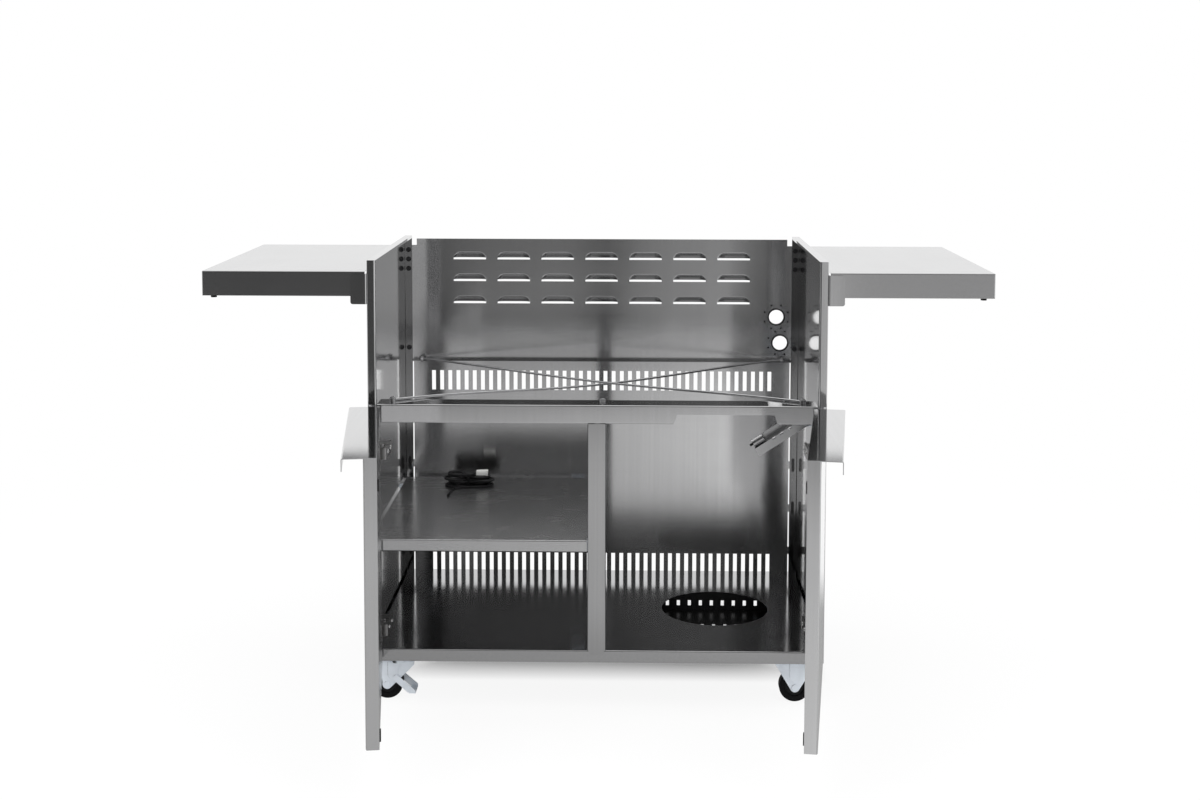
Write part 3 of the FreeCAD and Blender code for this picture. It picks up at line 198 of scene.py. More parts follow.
class EffectGroups:
    """Shader groups that more than one finish uses, each built once."""

    made: dict[str, bpy.types.NodeTree] = {}
    upward: Pair = (0.2, 1.0)       # rise of a face over which dust comes to lie
    cloud: Pair = (0.42, 0.75)      # range of the noise over which dust gathers

    @classmethod
    def start(cls, name: str, inputs: dict[str, Any], outputs: Iterable[str]) -> tuple[NodeBoard, Any, Any]:
        """Open a new group with its sockets.

        Args:
            name: name of the group.
            inputs: input names with a default value; a tuple makes a vector socket.
            outputs: names of the value outputs.

        Returns:
            The board to place nodes on, the outputs of the input node, and the output node.
        """
        tree = bpy.data.node_groups.new(name, "ShaderNodeTree")
        for socket, value in inputs.items():
            kind = "NodeSocketVector" if isinstance(value, tuple) else "NodeSocketFloat"
            made = tree.interface.new_socket(socket, in_out="INPUT", socket_type=kind)
            made.default_value = value
        for socket in outputs:
            tree.interface.new_socket(socket, in_out="OUTPUT", socket_type="NodeSocketFloat")
        cls.made[name] = tree
        return NodeBoard(tree), tree.nodes.new("NodeGroupInput").outputs, tree.nodes.new("NodeGroupOutput")

    @classmethod
    def brushed_grain(cls) -> bpy.types.NodeTree:
        """Fine lines along the grain, broad streaks over them, and soft handling marks.

        Returns:
            The group, with outputs Lines, Streaks and Marks, each from 0 to 1.
        """
        if "brushed_grain" in cls.made:
            return cls.made["brushed_grain"]
        inputs = {"Place": (0.0, 0.0, 0.0), "Line Scale": (4.0, 900.0, 900.0),
                  "Streak Scale": (70.0, 70.0, 1.2), "Mark Scale": 7.0}
        board, into, out = cls.start("brushed_grain", inputs, ("Lines", "Streaks", "Marks"))
        place = into["Place"]
        lined = board.vector("MULTIPLY", place, into["Line Scale"])
        streaked = board.vector("MULTIPLY", place, into["Streak Scale"])
        board.feed(out, {
            "Lines": board.noise(Vector=lined, Scale=1.0, Detail=3.0, Roughness=0.65),
            "Streaks": board.noise(Vector=streaked, Scale=1.0, Detail=4.0, Roughness=0.6),
            "Marks": board.noise(Vector=place, Scale=into["Mark Scale"], Detail=2.0, Distortion=0.8)})
        return board.tree

    @classmethod
    def moulded_skin(cls) -> bpy.types.NodeTree:
        """Fine pitted skin of a moulding, with dust that settles on upward faces.

        Returns:
            The group, with outputs Pits and Dust, each from 0 to 1.
        """
        if "moulded_skin" in cls.made:
            return cls.made["moulded_skin"]
        inputs = {"Place": (0.0, 0.0, 0.0), "Pit Scale": 900.0, "Dust Scale": 60.0}
        board, into, out = cls.start("moulded_skin", inputs, ("Pits", "Dust"))
        place = into["Place"]
        cloud = board.noise(Vector=place, Scale=into["Dust Scale"], Detail=5.0, Roughness=0.7)
        rise = board.span(board.facing()[2], *cls.upward)
        board.feed(out, {"Pits": board.noise(Vector=place, Scale=into["Pit Scale"], Detail=2.0),
                         "Dust": board.math("MULTIPLY", board.span(cloud, *cls.cloud), rise)})
        return board.tree


@dataclass(frozen=True)
class Finish:
    """A surface finish: the name of its slot and the colour it is made in."""

    name: str
    slot: str
    tone: Colour
    roughness: float

    def material(self) -> bpy.types.Material:
        """Make the finish as a material, or find it where it is made already.

        Returns:
            The material.
        """
        found = bpy.data.materials.get(self.name)
        if found:
            return found
        material = bpy.data.materials.new(self.name)
        material.use_nodes = True
        material.diffuse_color = opaque(self.tone)
        board = NodeBoard(material.node_tree)
        place = board.put("TexCoord").outputs["Object"]
        board.feed(board.tree.nodes["Principled BSDF"], self.look(board, place))
        return material

    def look(self, board: NodeBoard, place: Socket) -> dict[str, Any]:
        """Inputs of the shader; each kind of finish has its own."""
        raise NotImplementedError

    def tinted(self, board: NodeBoard, pattern: Socket, shades: Pair) -> Socket:
        """Colour that goes from one shade of the tone to another along a noise pattern."""
        return board.mix(board.span(pattern, *NOISE), *(opaque(self.tone, shade) for shade in shades))

    def rough(self, board: NodeBoard, pattern: Socket, reach: Pair) -> Socket:
        """Roughness that strays from the finish's own along a noise pattern."""
        return board.span(pattern, *NOISE, *(self.roughness + stray for stray in reach))


@dataclass(frozen=True)
class BrushedSheet(Finish):
    """Stainless sheet with a brushed grain."""

    smear_way: Smear = Smear.UPRIGHT
    smear: float = 0.6
    line_scale: Point = (5.0, 700.0, 700.0)
    streak_scale: Point = (150.0, 150.0, 1.0)
    shade_range: Pair = (0.97, 1.02)
    rough_range: Pair = (-0.01, 0.015)
    line_rough: Pair = (-0.01, 0.01)
    line_height: float = 0.006
    line_depth: float = 0.0004
    dull_shade: float = 1.0         # level of the painted shade, where a sheet has one

    def look(self, board: NodeBoard, place: Socket) -> dict[str, Any]:
        """Brushed metal whose reflections smear across its grain.

        Args:
            board: board of the material.
            place: place on the piece.

        Returns:
            Inputs of the shader.
        """
        scales = {"Line Scale": self.line_scale, "Streak Scale": self.streak_scale}
        grain = board.put("Group", {"Place": place} | scales, node_tree=EffectGroups.brushed_grain()).outputs
        colour = self.tinted(board, grain["Streaks"], self.shade_range)
        # painted shade where the sheet has any; each subclass says where
        dull = self.dull(board, place)
        if dull is not None:
            colour = board.mix(dull, colour, opaque(self.tone, self.dull_shade))
        marked = self.rough(board, grain["Marks"], self.rough_range)
        lined = board.span(grain["Lines"], *NOISE, *self.line_rough)
        way = board.put("CombineXYZ", dict(enumerate(self.smear_way.value)))
        return {"Base Color": colour, "Roughness": board.math("ADD", marked, lined),
                "Normal": board.bump(self.line_height, self.line_depth, grain["Lines"]),
                "Tangent": way.outputs[0], "Metallic": 1.0, "Anisotropic": self.smear}

    def dull(self, board: NodeBoard, place: Socket) -> Socket | None:
        """Share of each place that takes painted shade; a plain sheet has none."""
        return None


@dataclass(frozen=True)
class HoodedSheet(BrushedSheet):
    """Brushed sheet with painted shade inside its louvre hoods, apart from their left ends."""

    hoods: Pair = (FRONT_Y + 0.5502, FRONT_Y + 0.5514)
    fronts: Pair = (0.15, -0.05)    # faces that look to the front, by the Y of their normal
    ends: Pair = (0.6, 0.25)        # faces other than the hoods' left ends, which the painted shade spares, by the X of their normal
    # level of the painted shade inside the hoods
    dull_shade: float = 0.42

    def dull(self, board: NodeBoard, place: Socket) -> Socket | None:
        """Painted shade on the front of the hoods, apart from their left ends.

        Args:
            board: board of the material.
            place: place on the piece.

        Returns:
            The share that takes the painted shade.
        """
        across, ahead, _ = board.facing()
        behind = board.span(board.apart(place)[1], *self.hoods)
        inside = board.math("MULTIPLY", behind, board.span(ahead, *self.fronts))
        return board.math("MULTIPLY", inside, board.span(across, *self.ends))


@dataclass(frozen=True)
class ShelfSheet(BrushedSheet):
    """Brushed sheet with painted shade on its underside."""

    underside: Pair = (-0.5, -0.9)  # faces that look down, by the Z of their normal
    # level of the painted shade under the shelf
    dull_shade: float = 0.06

    def dull(self, board: NodeBoard, place: Socket) -> Socket | None:
        """Faces that look down, which take the painted shade."""
        return board.span(board.facing()[2], *self.underside)


@dataclass(frozen=True)
class SeamedSheet(BrushedSheet):
    """Brushed sheet with painted shade on its rear return, in the corner behind the nuts."""

    seam: Pair = (FRONT_Y + 0.5470, FRONT_Y + 0.5485)
    # level of the painted shade on the rear return
    dull_shade: float = 0.40

    def dull(self, board: NodeBoard, place: Socket) -> Socket | None:
        """The rear return, which takes the painted shade."""
        return board.span(board.apart(place)[1], *self.seam)


@dataclass(frozen=True)
class TabbedSheet(BrushedSheet):
    """Brushed sheet with painted shade on its tabs, behind the slots of the side panels."""

    tabs: Pair = (0.4435, 0.4445)
    # level of the painted shade on the tabs
    dull_shade: float = 0.10

    def dull(self, board: NodeBoard, place: Socket) -> Socket | None:
        """Ends of the tabs, which take the painted shade."""
        return board.span(board.math("ABSOLUTE", board.apart(place)[0]), *self.tabs)


@dataclass(frozen=True)
class PlatedSteel(Finish):
    """Pressed or turned steel with a plated skin."""

    line_scale: Point = (160.0, 160.0, 160.0)
    streak_scale: Point = (45.0, 45.0, 45.0)
    mark_scale: float = 26.0
    shade_range: Pair = (0.86, 1.06)
    dull_range: Pair = (0.35, 0.75)
    dull_spots: float = 0.12
    metal: float = 1.0              # a cloudy plating shows less of the metal under it
    fold_turn: Pair = (-0.1, -0.35)  # edges that turn to the left and take painted shade, by the X of their normal
    fold_shade: float = 1.0         # level of the painted shade on these edges
    skin_height: float = 0.03
    skin_depth: float = 0.0003

    def look(self, board: NodeBoard, place: Socket) -> dict[str, Any]:
        """Plated metal with a faint cloudy skin.

        Args:
            board: board of the material.
            place: place on the piece.

        Returns:
            Inputs of the shader.
        """
        scales = {"Line Scale": self.line_scale, "Streak Scale": self.streak_scale,
                  "Mark Scale": self.mark_scale}
        skin = board.put("Group", {"Place": place} | scales, node_tree=EffectGroups.brushed_grain()).outputs
        colour = self.tinted(board, skin["Marks"], self.shade_range)
        # painted shade on the edges that turn to the left
        if self.fold_shade < 1.0:
            fold = board.span(board.facing()[0], *self.fold_turn)
            colour = board.mix(fold, colour, opaque(self.tone, self.fold_shade))
        rough = board.span(skin["Streaks"], *self.dull_range, self.roughness, self.roughness + self.dull_spots)
        return {"Base Color": colour, "Roughness": rough, "Metallic": self.metal,
                "Normal": board.bump(self.skin_height, self.skin_depth, skin["Lines"])}


@dataclass(frozen=True)
class Moulding(Finish):
    """Rubber or plastic with a moulded skin."""

    pit_scale: float = 900.0
    pit_height: float = 0.12
    pit_depth: float = 0.0003
    rough_range: Pair = (-0.06, 0.08)
    dust: Colour = (0.22, 0.21, 0.20)
    dust_share: float = 0.25
    sheen: float = 0.5              # specular level of the skin

    def look(self, board: NodeBoard, place: Socket) -> dict[str, Any]:
        """Dull moulded skin with a little settled dust.

        Args:
            board: board of the material.
            place: place on the piece.

        Returns:
            Inputs of the shader.
        """
        skin = board.put("Group", {"Place": place, "Pit Scale": self.pit_scale},
                         node_tree=EffectGroups.moulded_skin()).outputs
        share = board.math("MULTIPLY", skin["Dust"], self.dust_share)
        return {"Base Color": board.mix(share, opaque(self.tone), opaque(self.dust)),
                "Roughness": self.rough(board, skin["Pits"], self.rough_range),
                "Normal": board.bump(self.pit_height, self.pit_depth, skin["Pits"]),
                "Specular IOR Level": self.sheen}


STEEL = (0.70, 0.70, 0.705)
LYING = {"smear_way": Smear.DEEP, "streak_scale": (150.0, 1.0, 150.0)}     # grain of a sheet that lies flat
INWARD = (700.0, 5.0, 700.0)        # lines that run from front to back
ACROSS_SHEET = BrushedSheet("brushed_sheet_across", "stainless", (0.56, 0.56, 0.564), 0.14, smear=0.7)
RAIL_SHEET = BrushedSheet("brushed_sheet_rail", "stainless", STEEL, 0.09, smear=0.3)
# louvred upper back panel, with painted shade inside its hoods
UPPER_SHEET = HoodedSheet("brushed_sheet_louvred", "stainless", STEEL, 0.12, smear=0.9)
# lower back panel, with painted shade on its tab ends
LOWER_SHEET = TabbedSheet("brushed_sheet_tabbed", "stainless", STEEL, 0.13, smear=0.9)
# middle shelf, with painted shade on its underside
SHELF_SHEET = ShelfSheet("brushed_sheet_shelf", "stainless", STEEL, 0.26, **LYING)
FLAT_SHEET = BrushedSheet("brushed_sheet_flat", "stainless", STEEL, 0.13, **LYING)
# floor pan in a darker tone than the plain steel: painted shade inside the body
FLOOR_SHEET = BrushedSheet("brushed_sheet_floor", "stainless", (0.58, 0.58, 0.585), 0.13, **LYING)
# side panels, with painted shade on their rear returns
SIDE_SHEET = SeamedSheet("brushed_sheet_side", "stainless", STEEL, 0.09, smear=0.4, line_scale=INWARD)
# tank tray in a near-black tone: painted shade under the floor's hole
TRAY_SHEET = BrushedSheet("pressed_sheet_tray", "stainless", (0.16, 0.16, 0.162), 0.3, smear=0.2)
PULL_SHEET = BrushedSheet("brushed_sheet_pull", "stainless", STEEL, 0.08, smear=0.1, **LYING)
DOOR_SHEET = BrushedSheet("brushed_sheet_door", "stainless", STEEL, 0.22, line_scale=INWARD)
RETAINER_SHEET = BrushedSheet("brushed_sheet_retainer", "stainless", (0.74, 0.74, 0.745), 0.3, smear=0.3)
BLACK_BOLT = PlatedSteel("blackened_bolt", "black_steel", (0.07, 0.07, 0.073), 0.3)
BRIGHT_LIP = PlatedSteel("pressed_lip", "stainless", (0.92, 0.92, 0.92), 0.2)
ROD = PlatedSteel("drawn_rod", "rod_steel", (0.72, 0.72, 0.73), 0.16, dull_spots=0.06)
BOLT = PlatedSteel("bolt_plate", "bolt_steel", (0.55, 0.55, 0.56), 0.33)
NICKEL = PlatedSteel("hinge_plate", "hinge_nickel", (0.58, 0.575, 0.57), 0.25)
# bright zinc, with painted shade on the edges that turn to the left
ZINC = PlatedSteel("bright_zinc", "zinc_plate", (0.78, 0.83, 0.89), 0.34, shade_range=(0.92, 1.04),
                   metal=0.3, fold_shade=0.06)
TREAD = Moulding("tread_skin", "tread_rubber", (0.006, 0.006, 0.0065), 0.6, pit_scale=500.0,
                 dust_share=0.06, sheen=0.12)
HUB = Moulding("hub_skin", "hub_plastic", (0.012, 0.012, 0.013), 0.42, sheen=0.2)
RUBBER = Moulding("bumper_skin", "black_rubber", (0.008, 0.008, 0.008), 0.6, dust_share=0.1, sheen=0.15)
GROMMET = Moulding("grommet_skin", "grommet_plastic", (0.008, 0.008, 0.009), 0.45, dust_share=0.1, sheen=0.15)
JACKET = Moulding("lead_jacket", "cord_jacket", (0.010, 0.010, 0.011), 0.42, pit_height=0.05,
                  dust_share=0.1, sheen=0.3)
PALE_PLUG = Moulding("connector_skin", "connector_plastic", (0.80, 0.80, 0.78), 0.4, pit_height=0.05,
                     dust=(0.6, 0.59, 0.56))


def dress(finish: Finish, *names: str) -> None:
    """Give CAD nodes a finish.

    Args:
        finish: finish that they get.
        names: names of the nodes.
    """
    for name in names:
        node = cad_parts[name]
        for place in node.material_slots:
            place.link = "DATA"
        node.data.materials.clear()
        node.data.materials.append(finish.material())
        log.info("%s dressed in %s", name, finish.name)


def ease_edges(width: float, *names: str) -> None:
    """Break the sharp edges of CAD nodes so that they catch light.

    Args:
        width: width of the broken edge in metres.
        names: names of the nodes.
    """
    for name in names:
        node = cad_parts[name]
        weld = node.modifiers.new("joined", "WELD")
        weld.merge_threshold = WELD_GAP
        bevel = node.modifiers.new("broken_edges", "BEVEL")
        bevel.width = width
        bevel.segments = 2
        bevel.limit_method = "ANGLE"
        bevel.angle_limit = math.radians(EDGE_TURN)
        bevel.harden_normals = False


class Shape:
    """A mesh in the making, from turned and rounded forms."""

    hexagon: int = 6
    nut_flange: Profile = ((0.62, 0.0), (0.62, 0.14), (0.5, 0.36))      # shares of width across and height
    nut_flats: Profile = ((1.0, 0.2), (1.0, 0.86), (0.88, 1.0))         # shares of corner radius and height
    stud_end: Profile = ((1.0, 0.5), (1.0, 1.1), (0.7, 1.25))           # shares of bolt radius and height
    washer: Profile = ((0.66, 0.0), (0.66, 0.2), (0.6204, 0.28))
    head_flats: Profile = ((1.0, 0.2), (1.0, 0.84), (0.86, 1.0))
    pan_head: Profile = ((1.0, 0.0), (1.0, 0.35), (0.82, 0.8), (0.5, 1.0), (0.42, 1.0), (0.36, 0.4))

    def __init__(self) -> None:
        """Start with nothing."""
        self.mesh = bmesh.new()

    def turned(self, place: Matrix, profile: Profile, scale: Pair = (1.0, 1.0), sides: int = 24) -> None:
        """Add a form turned about the Z axis of its place.

        Args:
            place: where the form stands.
            profile: radius and height of each ring, from one end to the other.
            scale: factors of the radii and the heights.
            sides: number of sides; 6 makes a hexagon.
        """
        wide, tall = scale
        angles = [math.tau * step / sides for step in range(sides)]
        rings = []
        for share, rise in profile:
            radius, height = share * wide, rise * tall
            points = [(radius * math.cos(angle), radius * math.sin(angle), height) for angle in angles]
            rings.append([self.mesh.verts.new(place @ Vector(point)) for point in points])
        for low, high in zip(rings, rings[1:]):
            for step in range(sides):
                after = (step + 1) % sides
                self.mesh.faces.new((low[step], low[after], high[after], high[step]))
        self.mesh.faces.new(rings[0][::-1])
        self.mesh.faces.new(rings[-1])

    def rounded_block(self, place: Matrix, size: Point, edge: float) -> None:
        """Add a block with rounded edges.

        Args:
            place: middle of the block.
            size: its length, width and height.
            edge: radius of its edges.
        """
        made = bmesh.ops.create_cube(self.mesh, size=1.0, matrix=place @ Matrix.Diagonal((*size, 1.0)))
        edges = list(dict.fromkeys(side for vert in made["verts"] for side in vert.link_edges))
        bmesh.ops.bevel(self.mesh, geom=edges, offset=edge, segments=3, profile=0.5, affect="EDGES")

    def flange_nut(self, place: Matrix, across: float, height: float, stud: float) -> None:
        """Add a flange nut with the end of its bolt standing out.

        Args:
            place: middle of the face that the nut sits on, with Z along the bolt.
            across: width across the flats.
            height: height of the nut.
            stud: radius of the bolt.
        """
        self.turned(place, self.nut_flange, (across, height))
        self.turned(place, self.nut_flats, (across / math.sqrt(3.0), height), self.hexagon)
        self.turned(place, self.stud_end, (stud, height))

    def hex_screw(self, place: Matrix, across: float, height: float) -> None:
        """Add a hexagon head with a washer under it."""
        self.turned(place, self.washer, (across, height))
        self.turned(place, self.head_flats, (across / math.sqrt(3.0), height), self.hexagon)

    def pan_screw(self, place: Matrix, radius: float, height: float) -> None:
        """Add a domed head with a socket in it."""
        self.turned(place, self.pan_head, (radius, height))

    def piece(self, name: str, body: str, finish: Finish, *stands_for: str) -> bpy.types.Object:
        """Turn the mesh into a piece of the cart.

        Args:
            name: name of the piece.
            body: body that it rides on.
            finish: finish that it gets.
            stands_for: CAD nodes that it replaces.

        Returns:
            The new object.
        """
        bmesh.ops.recalc_face_normals(self.mesh, faces=self.mesh.faces)
        data = bpy.data.meshes.new(name)
        self.mesh.to_mesh(data)
        self.mesh.free()
        data.polygons.foreach_set("use_smooth", [True] * len(data.polygons))
        data.set_sharp_from_angle(angle=math.radians(SMOOTH_TURN))
        data.materials.append(finish.material())
        made = bpy.data.objects.new(name, data)
        bpy.context.scene.collection.objects.link(made)
        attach(made, body)
        if stands_for:
            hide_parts(*stands_for)
        log.info("%s built on %s in %s", name, body, finish.name)
        return made


@dataclass
class CameraRig:
    """Camera at the photograph's place, in the shared frame."""

    focal: float = 1612.9           # focal length in pixels of the picture
    principal_y: float = 220.0      # picture row that the lens looks along
    place: Point = (0.0610, -3.1930 + FRONT_Y, 1.2553)
    down: float = 4.636             # this and the next two in degrees
    turn: float = 0.994
    roll: float = 0.115
    sensor: float = 36.0

    def build(self) -> bpy.types.Object:
        """Make the camera and hand it to the scene.

        Returns:
            The camera.
        """
        lens = bpy.data.cameras.new("view")
        lens.sensor_width = self.sensor
        lens.lens = self.focal / PHOTO_W * self.sensor
        lens.shift_y = (self.principal_y - PHOTO_H / 2) / PHOTO_W
        camera = bpy.data.objects.new("view", lens)
        camera.location = self.place
        look = Matrix.Rotation(math.radians(self.turn), 4, "Z")
        look = look @ Matrix.Rotation(math.radians(90.0 - self.down), 4, "X")
        look = look @ Matrix.Rotation(math.radians(self.roll), 4, "Z")
        camera.rotation_euler = look.to_euler()
        bpy.context.scene.collection.objects.link(camera)
        bpy.context.scene.camera = camera
        return camera


@dataclass(frozen=True)
class Lamp:
    """One soft square lamp."""

    name: str
    place: Point
    target: Point                   # point that it faces
    size: float                     # side of its square in metres
    power: float                    # in watts

    def build(self) -> None:
        """Hang the lamp, unseen by the metal."""
        light = bpy.data.lights.new(self.name, "AREA")
        light.size = self.size
        light.energy = self.power
        lamp = bpy.data.objects.new(self.name, light)
        lamp.location = self.place
        lamp.rotation_euler = (Vector(self.target) - Vector(self.place)).to_track_quat("-Z", "Y").to_euler()
        lamp.visible_glossy = False
        bpy.context.scene.collection.objects.link(lamp)


@dataclass
class Studio:
    """Pale floor, white backdrop and soft light; the room behind the camera is dim."""

    floor_half: float = 7.0
    floor_front: float = -3.3       # the pale floor ends here, behind the camera
    floor_tone: Colour = (0.95, 0.95, 0.95)
    floor_glow: float = 0.90        # share of the floor's white that no shadow takes
    shadow_reach: Pair = (1.0, 2.6)  # distance over which the shadow's share fades out
    under_glow: float = 0.25        # share of the white under the cart
    under_size: Point = (0.47, 0.33, 1.0)
    under_y: float = 0.45
    under_fade: Pair = (0.75, 1.1)
    floor_levels: Profile = (       # floor as the metal shows it, from front to back
        (-3.3, 0.46), (-2.75, 0.52), (-2.5, 0.68), (-2.1, 0.66), (-1.6, 0.58), (-0.75, 0.56), (-0.4, 0.42),
        (0.6, 0.34), (0.9, 0.95))
    floor_sides: Pair = (0.8, 1.2)  # left and right of the floor over its middle
    floor_reach: float = 0.8
    floor_streaks: Profile = (      # light and dark streaks across the middle of the floor
        (-0.13, 1.1), (-0.10, 1.0), (0.0, 1.0), (0.05, 1.15), (0.073, 1.35), (0.078, 0.45), (0.105, 0.4),
        (0.115, 1.2), (0.3, 1.2))
    streak_from: Pair = (0.061, 4.24)       # point that the streaks spread from
    streak_front: Pair = (-2.75, -2.5)      # where the streaks begin and end
    streak_rear: Pair = (-0.6, -0.45)
    ambient: float = 0.9
    backdrop: float = 1.15          # backdrop as the metal shows it
    horizon: Pair = (0.1, -0.1)     # the backdrop gives way to the room over this range of Y
    least_ahead: float = 0.05
    dim_rise: Pair = (0.0, 0.22)    # the room gets darker upwards
    dim_share: float = 0.3
    ceiling: float = 0.9
    ceiling_rise: Pair = (0.6, 0.95)
    room_levels: Profile = (        # room in front as the metal shows it, from left to right
        (-1.6, 0.20), (-0.5, 0.10), (-0.17, 0.085), (-0.125, 0.045), (-0.115, 0.17), (-0.03, 0.22),
        (-0.018, 0.07), (-0.006, 0.07), (0.004, 0.28), (0.05, 0.34), (0.066, 0.48), (0.073, 0.20),
        (0.085, 0.14), (0.090, 0.06), (0.109, 0.06), (0.113, 0.75), (0.127, 0.75), (0.135, 0.42), (0.3, 0.42),
        (0.6, 0.7), (1.6, 1.1))
    lamps: tuple[Lamp, ...] = (
        Lamp("overhead", (0.0, -0.2, 3.2), (0.0, 0.0, 0.0), 3.0, 45.0),
        Lamp("key", (-2.6, -2.6, 2.4), (0.0, 0.0, 0.5), 1.8, 30.0),
        Lamp("fill", (2.8, -2.4, 2.0), (0.0, 0.0, 0.5), 1.8, 30.0))

    def build(self) -> None:
        """Make the floor, the world and the lamps."""
        bpy.context.scene.view_settings.view_transform = "Standard"
        self.floor()
        self.world()
        for lamp in self.lamps:
            lamp.build()

    def floor(self) -> None:
        """Seamless floor: white to the camera, with the cart's shadow on it."""
        half, front = self.floor_half, self.floor_front
        mesh = bpy.data.meshes.new("floor")
        corners = [(-half, front, 0), (half, front, 0), (half, half, 0), (-half, half, 0)]
        mesh.from_pydata(corners, [], [(0, 1, 2, 3)])
        floor = bpy.data.objects.new("floor", mesh)
        bpy.context.scene.collection.objects.link(floor)
        material = bpy.data.materials.new("studio_floor")
        material.use_nodes = True
        board = NodeBoard(material.node_tree)
        board.tree.nodes.remove(board.tree.nodes["Principled BSDF"])
        rays = board.put("LightPath").outputs
        place = board.put("NewGeometry").outputs["Position"]
        matt = board.put("BsdfDiffuse", {"Color": opaque(self.floor_tone)})
        glow = board.put("Emission", {"Color": WHITE})
        mirrored = board.put("Emission", {"Strength": self.mirrored_floor(board, place)})
        seen = board.either(self.white_share(board, place), matt, glow)
        metal = board.either(rays["Is Glossy Ray"], matt, mirrored)
        whole = board.either(rays["Is Camera Ray"], metal, seen)
        board.feed(board.tree.nodes["Material Output"], {"Surface": whole.outputs[0]})
        mesh.materials.append(material)

    def white_share(self, board: NodeBoard, place: Socket) -> Socket:
        """Share of the floor's white that the camera sees whatever the shadow.

        Args:
            board: board of the floor's material.
            place: place on the floor.

        Returns:
            The share, low under the cart and full far from it.
        """
        away = board.put("VectorMath", {0: place}, operation="LENGTH").outputs["Value"]
        share = board.span(away, *self.shadow_reach, self.floor_glow, 1.0)
        inward = board.vector("SUBTRACT", place, (0.0, self.under_y, 0.0))
        across, deep, _ = board.apart(board.vector("ABSOLUTE", board.vector("DIVIDE", inward, self.under_size)))
        under = board.span(board.math("MAXIMUM", across, deep), *self.under_fade, self.under_glow, 1.0)
        return board.math("MINIMUM", share, under)

    def mirrored_floor(self, board: NodeBoard, place: Socket) -> Socket:
        """Level of the floor as the metal shows it.

        Args:
            board: board of the floor's material.
            place: place on the floor.

        Returns:
            The level.
        """
        x, y, _ = board.apart(place)
        level = board.levels(y, self.floor_levels)
        sides = board.span(x, -self.floor_reach, self.floor_reach, *self.floor_sides)
        middle, behind = self.streak_from
        aside = board.math("DIVIDE", board.math("SUBTRACT", x, middle), board.math("SUBTRACT", behind, y))
        zone = board.math("MULTIPLY", board.span(y, *self.streak_front),
                          board.span(y, *self.streak_rear, 1.0, 0.0))
        streaked = board.span(zone, 0.0, 1.0, 1.0, board.levels(aside, self.floor_streaks))
        return board.math("MULTIPLY", board.math("MULTIPLY", level, sides), streaked)

    def world(self) -> None:
        """White backdrop behind the cart, and a dim room in front with light from above."""
        world = bpy.data.worlds.new("studio")
        world.use_nodes = True
        board = NodeBoard(world.node_tree)
        board.tree.nodes.clear()
        rays = board.put("LightPath").outputs
        x, y, z = board.apart(board.put("TexCoord").outputs["Generated"])
        ahead = board.math("MAXIMUM", board.math("MULTIPLY", y, -1.0), self.least_ahead)
        room = board.levels(board.math("DIVIDE", x, ahead), self.room_levels)
        room = board.math("MULTIPLY", room, board.span(z, *self.dim_rise, 1.0, self.dim_share))
        room = board.math("MAXIMUM", room, board.span(z, *self.ceiling_rise, 0.0, self.ceiling))
        level = board.span(board.span(y, *self.horizon), 0.0, 1.0, self.backdrop, room)
        glossy = board.put("Background", {"Strength": level})
        plain = board.put("Background", {"Color": WHITE, "Strength": self.ambient})
        white = board.put("Background", {"Color": WHITE, "Strength": 1.0})
        mirrored = board.either(rays["Is Glossy Ray"], plain, glossy)
        whole = board.either(rays["Is Camera Ray"], mirrored, white)
        board.feed(board.put("OutputWorld"), {"Surface": whole.outputs[0]})
        bpy.context.scene.world = world


@dataclass(frozen=True)
class Loop:
    """One loop of the hank, and how far it strays from a neat one."""

    turn: float                     # radius of its end turns
    waist: float                    # half its width at the tie
    height: float
    reach: Pair                     # its left and right ends past the neat hank's
    aside: float                    # shift to the rear
    rise: float                     # lift of its left end

    def end(self, sign: int, along: float, aside: float) -> Vector:
        """Point on an end turn, from its place along and across the neat hank."""
        out = along + self.reach[0 if sign < 0 else 1]
        return Vector((sign * out, aside + self.aside, self.height + (self.rise if sign < 0 else 0.0)))


@dataclass(frozen=True)
class Block:
    """One rounded block of the connector, from the connector's middle."""

    middle: Point
    size: Point
    edge: float


